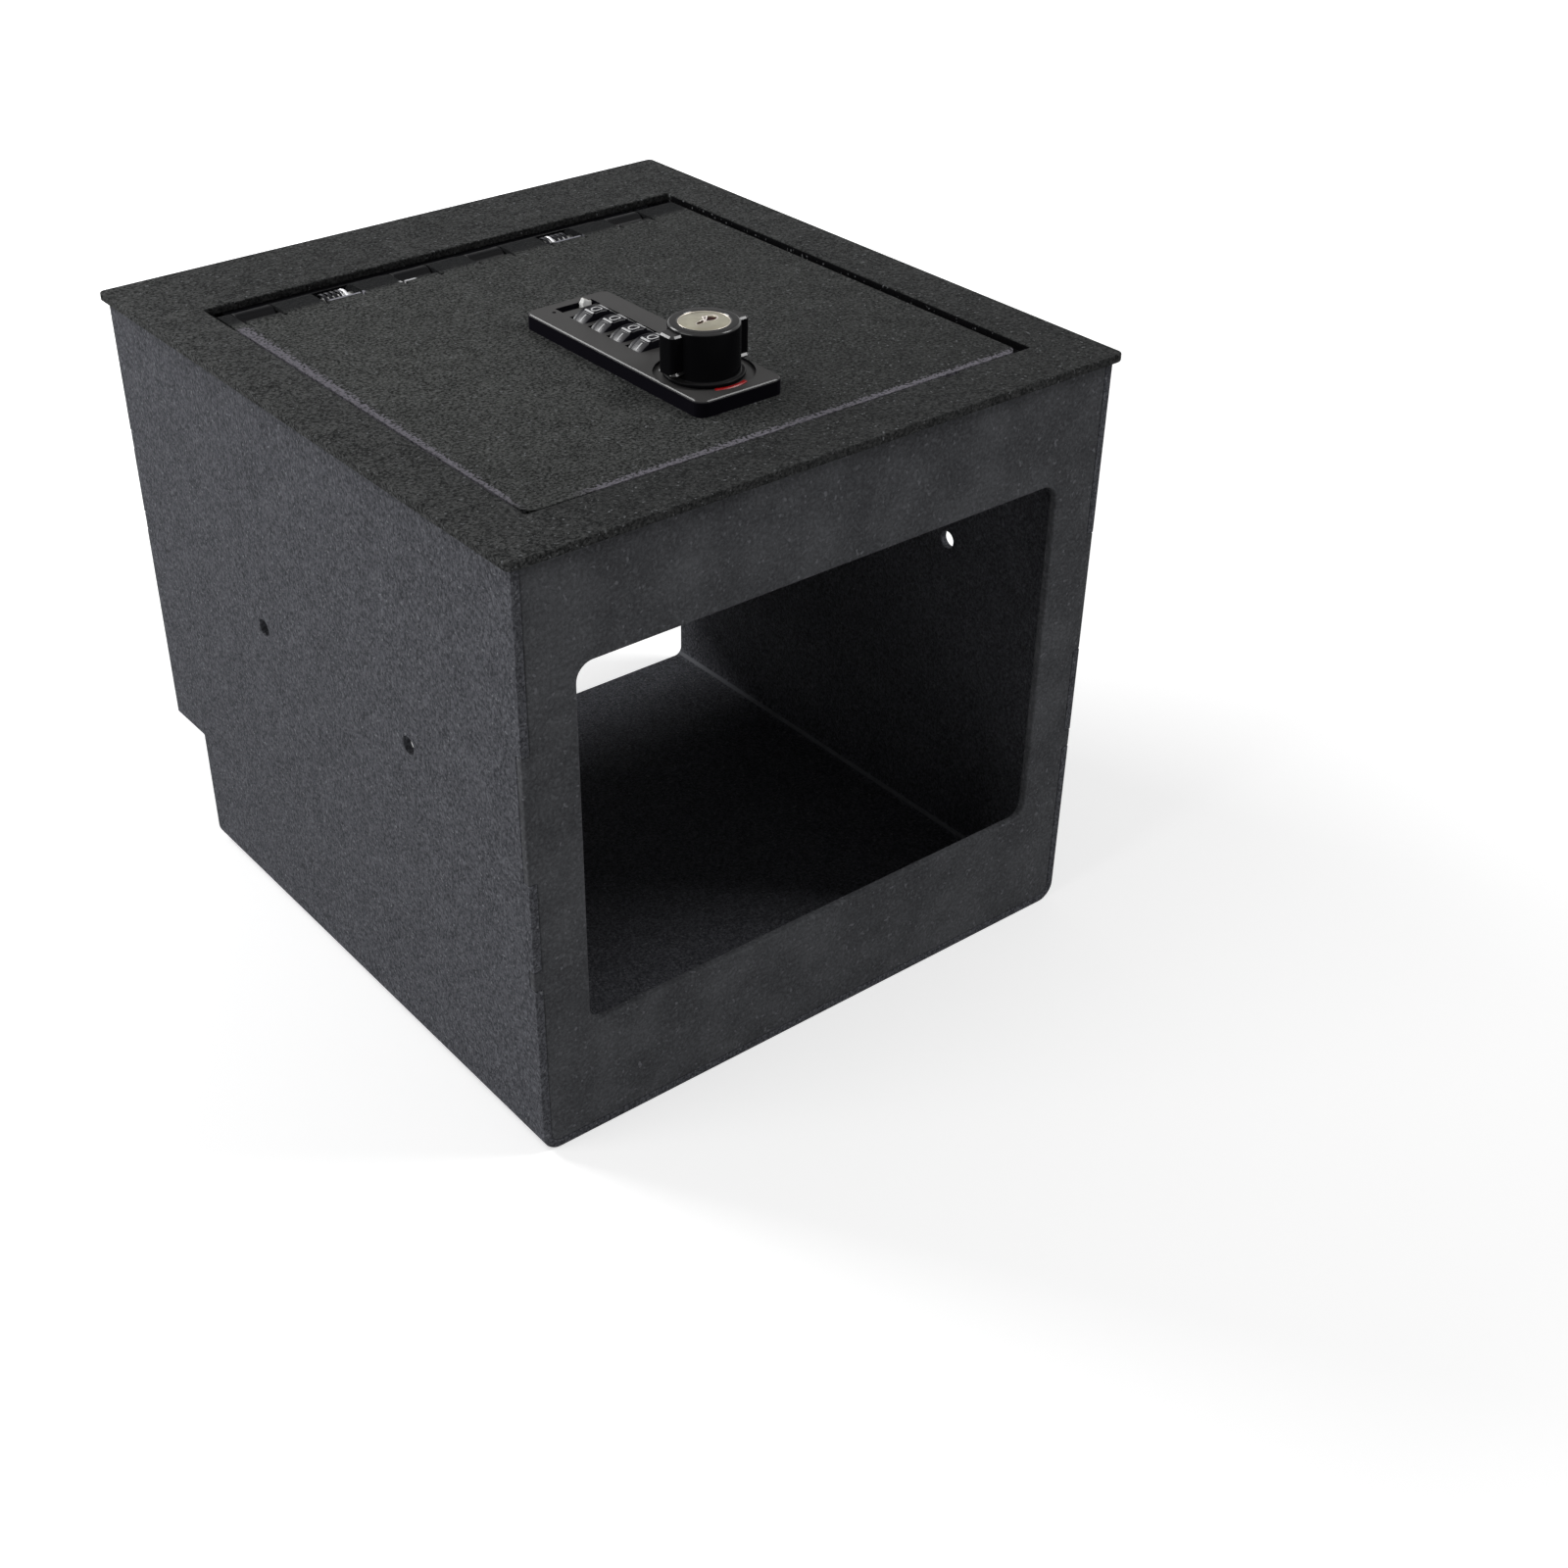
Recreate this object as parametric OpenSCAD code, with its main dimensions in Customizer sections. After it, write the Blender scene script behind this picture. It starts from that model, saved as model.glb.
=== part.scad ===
// Console safe: a folded steel case with a window in its front, a hinged
// lid in its top plate and a combination cam lock on the lid.
// X runs along the hinge, Y from the window to the hinge, Z up.
// The origin is on the floor, under the middle of the top plate.

/* [Case] */
// Width of the top plate
plate_w = 200; // [190:1:240]
// Depth of the top plate, front to back
plate_d = 216; // [208:1:260]
// Height of the top plate's upper face above the floor
case_h = 183; // [150:1:230]
// Thickness of the case's sheet
sheet_t = 2.5; // [2:0.1:3]
// How far the top plate stands out past the walls
overhang = 2; // [1:0.1:4]
// Corner radius of the top plate
plate_r = 2; // [1:0.1:5]
// Outer radius of the two bends along the floor
bend_r = 5.5; // [4:0.1:8]
// Height of the long tabs that lock the front panel into the walls
long_tab_h = 38; // [20:1:44]
// Height of the short tabs
short_tab_h = 6; // [4:0.5:10]
// Height of the long tabs' middle above the floor
long_tab_z = 110; // [100:1:114]
// Height of the short tabs' middle above the floor
short_tab_z = 60; // [56:1:68]

/* [Window] */
// Width of the front window
window_w = 162; // [120:1:166]
// Height of the front window
window_h = 111; // [70:1:112]
// Height of the window's lower edge above the floor
window_sill = 38; // [20:1:39]
// Corner radius of the window
window_r = 5; // [2:0.5:12]

/* [Rear step] */
// How far the lower part of the back is set in
step_d = 18.7; // [10:0.1:30]
// Height of the set-in part
step_h = 40.5; // [25:0.5:48]
// Height of the lip that hangs from the step's ledge
lip_h = 6; // [4:0.5:12]

/* [Wall bolts] */
// Diameter of the bolt holes in the side walls
bolt_d = 5.5; // [4:0.1:8]
// Distance between the two holes of a wall
bolt_pitch = 80; // [60:1:110]
// Height of the holes above the floor
bolt_z = 105; // [90:1:112]
// How far the pair lies in front of the middle
bolt_y = 10; // [0:1:20]

/* [Lid] */
// Thickness of the lid
lid_t = 2; // [1.6:0.1:2.4]
// How far the lid's face lies below the top plate's face
lid_drop = 0.5; // [0.3:0.1:0.6]
// Top plate in front of the lid opening
margin_front = 18.5; // [16:0.5:24]
// Top plate beside the lid opening
margin_side = 17.5; // [14:0.5:20]
// Top plate behind the lid opening
margin_rear = 32.5; // [28:0.5:40]
// Gap in front of the lid
gap_front = 1; // [0.8:0.1:2]
// Gap on the lid's left
gap_left = 1; // [0.8:0.1:3]
// Gap on the lid's right
gap_right = 3; // [1:0.1:4]
// Radius of the lid's front corners
lid_r = 4; // [2:0.5:8]
// Width of the small notch in the opening's front edge
notch_w = 5; // [3:0.5:8]
// Place of that notch to the right of the middle
notch_x = 53; // [40:1:60]
// Width of the ledge that the lid's front edge rests on
ledge_w = 120; // [80:1:140]
// How far the ledge reaches under the lid
ledge_lap = 4.5; // [3:0.5:8]

/* [Hinge] */
// Diameter of the hinge pin
pin_d = 5; // [4:0.1:5.2]
// Number of notches in the lid's hinge edge
notch_count = 6; // [5:1:6]
// Width of each notch
notch_gap = 13; // [12:0.5:14]
// Middle of the first notch, from the lid's left edge
notch_first = 10.5; // [10:0.1:12]
// Middle of the last notch, from the lid's right edge
notch_last = 20.5; // [19:0.1:22]
// Gap between the hinge's knuckles and the opening's rear edge
gap_rear = 3; // [2:0.1:4]
// End play of a knuckle in its notch, on each side
knuckle_play = 0.5; // [0.3:0.1:1]
// Length of the fixed leaf under the top plate
leaf_d = 22; // [16:0.5:24]
// Wire of the two torsion springs
wire_d = 1; // [0.8:0.1:1.1]
// Rise of the spring's helix in one turn
wire_pitch = 1.7; // [1.6:0.05:1.8]
// Turns of each spring
wire_turns = 5; // [4:1:5]
// Reach of the spring's legs from the pin
leg_reach = 16; // [14:0.5:18]

/* [Lock] */
// Width of the lock's face
lock_w = 28; // [26:0.5:32]
// Length of the lock's face
lock_l = 80.5; // [79:0.5:84]
// Height of the lock's face above the lid
lock_h = 4.4; // [4:0.1:5]
// Corner radius of the lock's face
lock_r = 3; // [2:0.5:5]
// Bevel round the lock's face
lock_bevel = 0.5; // [0.3:0.1:1]
// Middle of the lock, to the right of the middle of the case
lock_x = -3; // [-12:0.5:12]
// Lid in front of the lock
lock_inset = 17; // [14:0.5:22]
// Length of the threaded barrel below the lid
barrel_l = 14; // [13:0.5:16]
// Outer diameter of the barrel
barrel_d = 19; // [17:0.5:20]

/* [Knob] */
// Middle of the knob, from the lock's front edge
knob_inset = 16.5; // [15.5:0.5:17]
// Diameter of the knob's round body
knob_d = 20; // [19:0.5:21]
// Height of the knob above the lock's face
knob_h = 13.7; // [12:0.1:16]
// Distance across the knob's two wings
wing_span = 25.6; // [24:0.2:26]
// Width of each wing
wing_w = 6; // [4:0.5:8]
// Diameter of the key plug's face
plug_d = 14; // [13:0.5:15]
// Length of the keyway
keyway_l = 8; // [6:0.5:9]
// Width of the keyway
keyway_w = 1.4; // [1:0.1:2]
// Length of the cam, from the knob's middle to its tip
cam_l = 40; // [38.5:0.5:42]
// Width of the cam's arm
cam_w = 14; // [10:0.5:16]
// Thickness of the cam
cam_t = 2.5; // [2:0.1:3]

/* [Dials] */
// Number of dials
dial_count = 4; // [4:1:4]
// Diameter over a dial's ribs
dial_d = 16.4; // [15.6:0.2:16.8]
// Width of a dial's ribbed part, which carries the digits
digit_w = 4.4; // [4:0.1:4.6]
// Width of the plain collar behind it
collar_w = 1.7; // [1:0.1:1.8]
// Distance from one dial to the next
dial_pitch = 8.7; // [8.4:0.1:9]
// Middle of the rearmost dial's digits, from the lock's rear edge
dial_inset = 15.4; // [15:0.1:16]
// How far a dial stands out of the lock's face
dial_rise = 2.5; // [2:0.1:2.8]
// Number of digits on a dial
digit_count = 10; // [10:1:10]
// Diameter of the dials' shaft
shaft_d = 3; // [2:0.1:4]

/* [Hidden] */
$fn = 64;

// Clearances
run_fit = 0.05;        // radial clearance of a turning fit
side_fit = 0.3;        // gap beside a part that moves
seat_gap = 0.3;        // gap of a spring's leg from its seat
slide_fit = 0.15;      // gap beside the code slide
hole_fit = 0.2;        // radial clearance of a bolt or boss in its hole
eps = 0.01;            // how far a cut runs past a face
weld_in = 0.5;         // how far the parts of one piece run into each other

// Case
wall_x = plate_w / 2 - overhang;
wall_y = plate_d / 2 - overhang;
roof_z = case_h - sheet_t;
inner_x = wall_x - sheet_t;
inner_y = wall_y - sheet_t;
step_y = wall_y - step_d;
rear_tab_drop = 46;     // how far the rear's upper tabs lie below the top
rear_tab_z = case_h - rear_tab_drop;

// Lid opening and lid
open_x0 = -plate_w / 2 + margin_side;
open_x1 = plate_w / 2 - margin_side;
open_y0 = -plate_d / 2 + margin_front;
open_y1 = plate_d / 2 - margin_rear;
lid_top = case_h - lid_drop;
lid_under = lid_top - lid_t;
lid_x0 = open_x0 + gap_left;
lid_x1 = open_x1 - gap_right;
lid_y0 = open_y0 + gap_front;
notch_d = gap_front;
notch_pitch = (lid_x1 - lid_x0 - notch_first - notch_last) / (notch_count - 1);
ledge_t = sheet_t;

// Hinge
bend_run = 2;          // flat length between the notches and the knuckles' roll
leaf_clear = 1.5;      // gap between the knuckles and the fixed leaf
coil_clear = 0.4;      // gap between the pin and the springs
pin_r = pin_d / 2;
knuckle_r = pin_r + run_fit + lid_t;
axis_y = open_y1 - gap_rear - knuckle_r;
axis_z = lid_top - knuckle_r;
flat_y1 = axis_y - knuckle_r - bend_run;
leaf_z1 = roof_z;
leaf_z0 = roof_z - sheet_t;
leaf_y0 = axis_y + knuckle_r + leaf_clear;
leaf_y1 = leaf_y0 + leaf_d;
relief_w = 1;
relief_l = 3;
spring_notches = [2, notch_count - 1];
pin_inset = 0.5;
coil_r = pin_r + coil_clear + wire_d / 2;
coil_rings = 8;
wire_sides = 6;

// Lock
lock_y0 = lid_y0 + lock_inset;
lock_y1 = lock_y0 + lock_l;
face_z = lid_top + lock_h;
knob_y = lock_y0 + knob_inset;
barrel_r = barrel_d / 2;
barrel_z0 = lid_under - barrel_l;
recess_edge = 0.8;
recess_r = wing_span / 2 + recess_edge;
recess_depth = 0.8;
recess_z = face_z - recess_depth;
marker_r0 = 11.6;
marker_w = 1.2;
marker_h = 0.6;
marker_from = -114;
marker_to = -67;

// Dials
dial_r = dial_d / 2;
dial_z = face_z + dial_rise - dial_r;
dial_w = digit_w + collar_w;
dial_y1 = lock_y1 - dial_inset;
rib_w = 1;
rib_h = 0.3;
collar_drop = 0.6;      // how far the collar lies below the ribs
well_r = dial_r + side_fit;
well_w = dial_w + 2 * side_fit;
tub_wall = 2.3;
tub_end = 1.2;
tub_front = 3.4;
tub_x = well_r + tub_wall;
tub_y0 = dial_y1 - (dial_count - 1) * dial_pitch - digit_w / 2 - side_fit - tub_front;
tub_y1 = dial_y1 + digit_w / 2 + collar_w + side_fit + tub_end;
detent_t = 0.5;
detent_lift = 0.4;
detent_foot = 2;
detent_tip = 0.6;
finger_w = dial_w * 2 / 3;
bump_w = dial_w / 2;
tub_z0 = dial_z - dial_r - side_fit - detent_t - detent_lift;
cover_t = 1.5;
cover_z0 = tub_z0 - cover_t;
shaft_r = shaft_d / 2;

// Screws of the lock
cover_screw_r = 0.8;
cover_head_r = 1.4;
cover_head_h = 1;
cover_screw_l = 6;
cover_inset_x = 1.1;
cover_inset_y = 1.6;
fix_screw_r = 1.5;
fix_head_r = 2.5;
fix_head_h = 2;
fix_depth = 2.2;
fix_x = 8.5;
fix_inset = 3;
fix_y = lock_y1 - fix_inset;

// Nut and washer of the barrel
washer_t = 1;
washer_lip = 3.5;
nut_h = 5;
nut_wall = 2.5;
nut_flats = barrel_d + 2 * nut_wall;

// Knob, key plug, spindle and cam
knob_r = knob_d / 2;
knob_top = face_z + knob_h;
knob_z0 = recess_z + side_fit;
skirt_h = 1;
skirt_edge = 1;
skirt_r = knob_r + skirt_edge;
knob_round = 0.9;
wing_gap = 1.6;
wing_drop = 0.9;        // how far the wings' tops lie below the knob's top
wing_r = 1.2;
plug_r = plug_d / 2;
plug_l = 7;
plug_z0 = knob_top - plug_l;
plug_sink = 0.2;
keyway_depth = 5;
keyway_mouth = 2.4;
spindle_r = 4;
spindle_up = 3;
square_w = 5.6;
cam_gap = 0.3;
cam_z1 = barrel_z0 - cam_gap;
cam_z0 = cam_z1 - cam_t;
cam_hub_r = 9;
cam_washer_r = 5;
cam_washer_t = 1;
cam_screw_r = 1.8;
cam_head_r = 4;
cam_head_h = 2.8;
cam_thread_l = 8;

// Keeper under the front of the top plate
keeper_w = 36;
keeper_gap = 0.4;
keeper_lap = 5;
keeper_z0 = cam_z1 + keeper_gap;
keeper_y1 = knob_y - cam_l + keeper_lap;
keeper_z1 = lid_under - ledge_t;

// Code slide
slot_l = 12.4;
slot_w = 2.4;
slot_depth = 1.6;
slot_reach = 5.9;       // how far the slot reaches to the left of the lock's middle
slot_inset = 4.8;
slot_x0 = lock_x - slot_reach;
slot_y = lock_y1 - slot_inset;
dish_w = 4.6;           // width of the shallow dish round the slot
dish_depth = 0.6;
pin_hole_gap = 1.8;     // from the slot's left end to the pinhole's middle
slide_l = 4;
slide_edge = 0.3;       // height of the slide's low edges above the lock's face
slide_peak = 1.8;
slide_rise = 0.9;       // distance of the peak from the slide's left end
slide_end = 0.4;
pin_hole_r = 0.6;

steel = "#2c2e31";
dark = "#1b1c1e";
bright = "#c9ccd0";
nickel = "#b9b1a2";

function notch_mid(i) = lid_x0 + notch_first + (i - 1) * notch_pitch;
function is_spring(i) = len(search(i, spring_notches)) > 0;
function dial_y(i) = dial_y1 - (i - 1) * dial_pitch;
function dial_mid(i) = dial_y(i) + collar_w / 2;

// A rectangle with round corners, from one corner to the other
module round_rect(x0, y0, x1, y1, r) {
    translate([x0 + r, y0]) square([x1 - x0 - 2 * r, y1 - y0]);
    translate([x0, y0 + r]) square([x1 - x0, y1 - y0 - 2 * r]);
    for (x = [x0 + r, x1 - r], y = [y0 + r, y1 - r]) translate([x, y]) circle(r);
}

// A rectangle whose two lower corners are round
module round_foot(x, y1, r, y0) {
    translate([-x, y0 + r]) square([2 * x, y1 - y0 - r]);
    translate([-x + r, y0]) square([2 * (x - r), r + eps]);
    for (s = [-1, 1]) translate([s * (x - r), y0 + r]) circle(r);
}

// A block from its low corner to its high corner
module block(lo, hi) {
    translate(lo) cube([hi[0] - lo[0], hi[1] - lo[1], hi[2] - lo[2]]);
}

// Tabs that stand out of a panel at both walls, grown by the clearance given
module wall_tabs(y0, y1, mid_z, height, grow) {
    for (s = [-1, 1]) {
        x0 = s > 0 ? inner_x - weld_in : -wall_x - grow;
        x1 = s > 0 ? wall_x + grow : -inner_x + weld_in;
        block([x0, y0, mid_z - height / 2 - grow], [x1, y1, mid_z + height / 2 + grow]);
    }
}

// Floor and both side walls, folded from one sheet
module case_wrap() {
    color(steel) difference() {
        rotate([90, 0, 0]) linear_extrude(2 * wall_y, center = true) difference() {
            round_foot(wall_x, roof_z, bend_r, 0);
            round_foot(inner_x, roof_z + eps, bend_r - sheet_t, sheet_t);
        }
        block([-wall_x - eps, step_y, -eps], [wall_x + eps, wall_y + eps, step_h]);
        for (i = [-1, 1]) {
            translate([0, -bolt_y + i * bolt_pitch / 2, bolt_z]) rotate([0, 90, 0])
                cylinder(r = bolt_d / 2, h = plate_w, center = true);
        }
        front_tab_slots();
        rear_tab_slots();
    }
}

// Slots of the front panel's tabs, cut from the walls' front edges
module front_tab_slots() {
    wall_tabs(-wall_y - eps, -inner_y, long_tab_z, long_tab_h, eps);
    wall_tabs(-wall_y - eps, -inner_y, short_tab_z, short_tab_h, eps);
}

// Slots of the rear panel's tabs
module rear_tab_slots() {
    wall_tabs(inner_y, wall_y + eps, rear_tab_z, short_tab_h, eps);
    wall_tabs(inner_y, wall_y + eps, long_tab_z, short_tab_h, eps);
}

// Panel with the window, between the side walls
module front_panel() {
    color(steel) difference() {
        union() {
            translate([0, -inner_y, 0]) rotate([90, 0, 0]) linear_extrude(sheet_t)
                round_foot(inner_x, roof_z, bend_r - sheet_t, sheet_t);
            wall_tabs(-wall_y, -inner_y, long_tab_z, long_tab_h, 0);
            wall_tabs(-wall_y, -inner_y, short_tab_z, short_tab_h, 0);
        }
        translate([0, -inner_y + eps, 0]) rotate([90, 0, 0]) linear_extrude(sheet_t + 2 * eps)
            round_rect(-window_w / 2, window_sill, window_w / 2, window_sill + window_h, window_r);
    }
}

// Back, with the ledge and the lip of its set-in foot
module rear_panel() {
    color(steel) {
        block([-inner_x, inner_y, step_h], [inner_x, wall_y, roof_z]);
        block([-inner_x, step_y - sheet_t, step_h], [inner_x, inner_y + eps, step_h + sheet_t]);
        block([-inner_x, step_y - sheet_t, step_h - lip_h], [inner_x, step_y, step_h + eps]);
        wall_tabs(inner_y, wall_y, rear_tab_z, short_tab_h, 0);
        wall_tabs(inner_y, wall_y, long_tab_z, short_tab_h, 0);
    }
}

// Top plate with the opening of the lid
module top_plate() {
    color(steel) translate([0, 0, roof_z]) linear_extrude(sheet_t) difference() {
        round_rect(-plate_w / 2, -plate_d / 2, plate_w / 2, plate_d / 2, plate_r);
        translate([open_x0, open_y0]) square([open_x1 - open_x0, open_y1 - open_y0]);
        translate([notch_x - notch_w / 2, open_y0 - notch_d]) square([notch_w, notch_d + eps]);
    }
}

// Strip that the lid's front edge rests on
module lid_ledge() {
    color(steel)
        block([-ledge_w / 2, -inner_y, lid_under - ledge_t], [ledge_w / 2, lid_y0 + ledge_lap, lid_under]);
}

// Bracket that the cam turns under when the knob locks
module keeper_bracket() {
    x0 = lock_x - keeper_w / 2;
    x1 = lock_x + keeper_w / 2;
    color(bright) {
        block([x0, -inner_y, keeper_z0], [x1, -inner_y + sheet_t, keeper_z1]);
        block([x0, -inner_y, keeper_z0], [x1, keeper_y1, keeper_z0 + sheet_t]);
    }
}

// A rolled knuckle round the pin
module knuckle(x0, x1, bore) {
    translate([x0, axis_y, axis_z]) rotate([0, 90, 0]) difference() {
        cylinder(r = knuckle_r, h = x1 - x0);
        translate([0, 0, -eps]) cylinder(r = bore, h = x1 - x0 + 2 * eps);
    }
}

// Fixed leaf of the hinge: a strip under the top plate with a knuckle in each notch without a spring
module hinge_leaf() {
    half = notch_gap / 2 - knuckle_play;
    color(steel) {
        block([notch_mid(1) - half, leaf_y0, leaf_z0], [notch_mid(notch_count) + half, leaf_y1, leaf_z1]);
        for (i = [1:notch_count]) if (!is_spring(i)) {
            knuckle(notch_mid(i) - half, notch_mid(i) + half, pin_r);
            block([notch_mid(i) - half, axis_y + pin_r + weld_in, leaf_z0],
                  [notch_mid(i) + half, leaf_y0 + weld_in, leaf_z1]);
        }
    }
}

// Pin through all knuckles, held by the fixed ones
module hinge_pin() {
    color(bright) translate([lid_x0 + pin_inset, axis_y, axis_z]) rotate([0, 90, 0])
        cylinder(r = pin_r, h = lid_x1 - lid_x0 - 2 * pin_inset);
}

// The spring's wire starts at its leg under the lid, meets the coil from
// below, winds round the pin and leaves for its leg under the fixed leaf.
// A path entry holds the wire's middle, its direction and its outward normal.
lid_leg = [-leg_reach, lid_under - seat_gap - wire_d / 2 - axis_z];
leaf_leg = [leg_reach, leaf_z0 - seat_gap - wire_d / 2 - axis_z];
function leg_angle(p) = asin(coil_r / norm(p)) + atan2(p[1], abs(p[0]));
turn_from = -leg_angle(lid_leg);
turn_to = 360 * wire_turns + leg_angle(leaf_leg);
turn_steps = ceil((turn_to - turn_from) / 360 * coil_rings);
coil_l = wire_pitch * (turn_to - turn_from) / 360;
function wire_out(a) = [0, sin(a), -cos(a)];
function wire_dir(a) = [0, cos(a), sin(a)];
function coil_dir(a) =
    let(v = [wire_pitch / (2 * PI * coil_r), cos(a), sin(a)]) v / norm(v);
function coil_x(a) = -coil_l / 2 + wire_pitch * (a - turn_from) / 360;
function coil_at(a) = [coil_x(a), coil_r * sin(a), -coil_r * cos(a)];
spring_path = concat(
    [[[coil_x(turn_from), lid_leg[0], lid_leg[1]], wire_dir(turn_from), wire_out(turn_from)]],
    [for (i = [0:turn_steps]) let(a = turn_from + (turn_to - turn_from) * i / turn_steps)
        [coil_at(a), (i == 0 || i == turn_steps) ? wire_dir(a) : coil_dir(a), wire_out(a)]],
    [[[coil_x(turn_to), leaf_leg[0], leaf_leg[1]], wire_dir(turn_to), wire_out(turn_to)]]
);
spring_points = [for (s = spring_path) for (k = [0:wire_sides - 1])
    let(a = 360 * k / wire_sides, side = cross(s[1], s[2]))
        s[0] + wire_d / 2 * (cos(a) * s[2] + sin(a) * side)];
ring_total = len(spring_path);
spring_sides = [for (i = [0:ring_total - 2]) for (k = [0:wire_sides - 1])
    let(a = i * wire_sides + k, b = i * wire_sides + (k + 1) % wire_sides)
        each [[a, a + wire_sides, b], [b, a + wire_sides, b + wire_sides]]];
spring_caps = [for (k = [1:wire_sides - 2])
    let(e = (ring_total - 1) * wire_sides)
        each [[0, k, k + 1], [e, e + k + 1, e + k]]];
spring_gap = min([for (i = [1:ring_total - 1 - coil_rings])
    for (j = [i + coil_rings / 2:ring_total - 2])
    norm(spring_path[i][0] - spring_path[j][0]) - wire_d]);
echo(spring_least_gap = spring_gap);

// One torsion spring, wound round the pin
module torsion_spring(x) {
    translate([x, axis_y, axis_z])
        polyhedron(points = spring_points, faces = concat(spring_sides, spring_caps));
}

// The two torsion springs that lift the lid
module hinge_springs() {
    color(bright) for (i = spring_notches) torsion_spring(notch_mid(i));
}

// Edge of the lid in its flat blank: the notches and the slits at their corners
module notch_cuts() {
    for (i = [1:notch_count]) {
        mid = notch_mid(i);
        translate([mid - notch_gap / 2, flat_y1]) square([notch_gap, 2 * knuckle_r + lid_t]);
        for (s = [-1, 1])
            translate([mid + s * (notch_gap - relief_w) / 2 - relief_w / 2, flat_y1 - relief_l])
                square([relief_w, relief_l + eps]);
    }
}

// Lid with its rolled knuckles and the cut-outs for the lock
module lid_plate() {
    color(steel) {
        translate([0, 0, lid_under]) linear_extrude(lid_t) difference() {
            union() {
                round_rect(lid_x0, lid_y0, lid_x1, flat_y1, lid_r);
                translate([lid_x0, flat_y1 - 2 * lid_r])
                    square([lid_x1 - lid_x0, axis_y - flat_y1 + 2 * lid_r]);
            }
            notch_cuts();
            translate([lock_x, knob_y]) circle(barrel_r + hole_fit);
            translate([lock_x - tub_x - hole_fit, tub_y0 - hole_fit])
                square([2 * (tub_x + hole_fit), tub_y1 - tub_y0 + 2 * hole_fit]);
            for (s = [-1, 1]) translate([lock_x + s * fix_x, fix_y]) circle(fix_screw_r + hole_fit);
        }
        for (i = [0:notch_count]) {
            x0 = i == 0 ? lid_x0 : notch_mid(i) + notch_gap / 2;
            x1 = i == notch_count ? lid_x1 : notch_mid(i + 1) - notch_gap / 2;
            knuckle(x0, x1, pin_r + run_fit);
        }
    }
}

// Face of the lock with its bevel
module lock_face() {
    hull() {
        translate([0, 0, lid_top]) linear_extrude(lock_h - lock_bevel)
            round_rect(lock_x - lock_w / 2, lock_y0, lock_x + lock_w / 2, lock_y1, lock_r);
        translate([0, 0, lid_top]) linear_extrude(lock_h)
            round_rect(lock_x - lock_w / 2 + lock_bevel, lock_y0 + lock_bevel,
                       lock_x + lock_w / 2 - lock_bevel, lock_y1 - lock_bevel, lock_r - lock_bevel);
    }
}

// A dial's well in the housing: round above the shaft, straight below it
module dial_well(i) {
    translate([lock_x, dial_mid(i), dial_z]) rotate([90, 0, 0])
        cylinder(r = well_r, h = well_w, center = true);
    block([lock_x - well_r, dial_mid(i) - well_w / 2, tub_z0 - eps],
          [lock_x + well_r, dial_mid(i) + well_w / 2, dial_z]);
}

// Sector of a ring, for the marker and its seat
module ring_sector(r0, r1, from, to, h) {
    rotate([0, 0, from]) rotate_extrude(angle = to - from) translate([r0, 0]) square([r1 - r0, h]);
}

// Body of the lock: face, tub of the dials and threaded barrel
module lock_housing() {
    color(dark) difference() {
        union() {
            lock_face();
            block([lock_x - tub_x, tub_y0, tub_z0], [lock_x + tub_x, tub_y1, lid_top + weld_in]);
            translate([lock_x, knob_y, barrel_z0]) cylinder(r = barrel_r, h = lid_top - barrel_z0 + weld_in);
        }
        for (i = [1:dial_count]) dial_well(i);
        translate([lock_x, tub_y1 - tub_end / 2, dial_z]) rotate([90, 0, 0])
            cylinder(r = shaft_r, h = tub_y1 - tub_y0 - tub_end);
        translate([lock_x, knob_y, recess_z]) cylinder(r = recess_r, h = recess_depth + eps);
        translate([lock_x, knob_y, barrel_z0 - eps])
            cylinder(r = spindle_r + run_fit, h = face_z - barrel_z0 + 2 * eps);
        for (s = [-1, 1]) translate([lock_x + s * fix_x, fix_y, lid_top - eps])
            cylinder(r = fix_screw_r, h = fix_depth + eps);
        for (p = cover_screw_places()) translate([p[0], p[1], tub_z0 - eps])
            cylinder(r = cover_screw_r, h = cover_screw_l + eps);
        block([slot_x0, slot_y - slot_w / 2, face_z - slot_depth],
              [slot_x0 + slot_l, slot_y + slot_w / 2, face_z + eps]);
        block([slot_x0, slot_y + slot_w / 2 - dish_w, face_z - dish_depth],
              [slot_x0 + slot_l, slot_y + slot_w / 2, face_z + eps]);
        translate([slot_x0 - pin_hole_gap, slot_y - pin_hole_gap / 2, face_z - slot_depth])
            cylinder(r = pin_hole_r, h = slot_depth + eps);
    }
}

// Middles of the back cover's four screws
function cover_screw_places() = [for (s = [-1, 1]) for (y = [tub_y0 + cover_inset_y, tub_y1 - cover_inset_y])
    [lock_x + s * (tub_x - cover_inset_x), y]];

// Plate that closes the tub of the dials
module lock_back_cover() {
    color(dark) difference() {
        block([lock_x - tub_x, tub_y0, cover_z0], [lock_x + tub_x, tub_y1, tub_z0]);
        for (p = cover_screw_places()) translate([p[0], p[1], cover_z0 - eps])
            cylinder(r = cover_screw_r, h = cover_t + 2 * eps);
    }
}

// A screw that points up, with its head below the height given
module screw_up(x, y, z, r, length, head_r, head_h) {
    translate([x, y, z]) {
        cylinder(r = r, h = length);
        translate([0, 0, -head_h]) cylinder(r = head_r, h = head_h);
    }
}

// Screws of the back cover
module cover_screws() {
    color(bright) for (p = cover_screw_places())
        screw_up(p[0], p[1], cover_z0, cover_screw_r, cover_t + cover_screw_l,
                 cover_head_r, cover_head_h);
}

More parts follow.
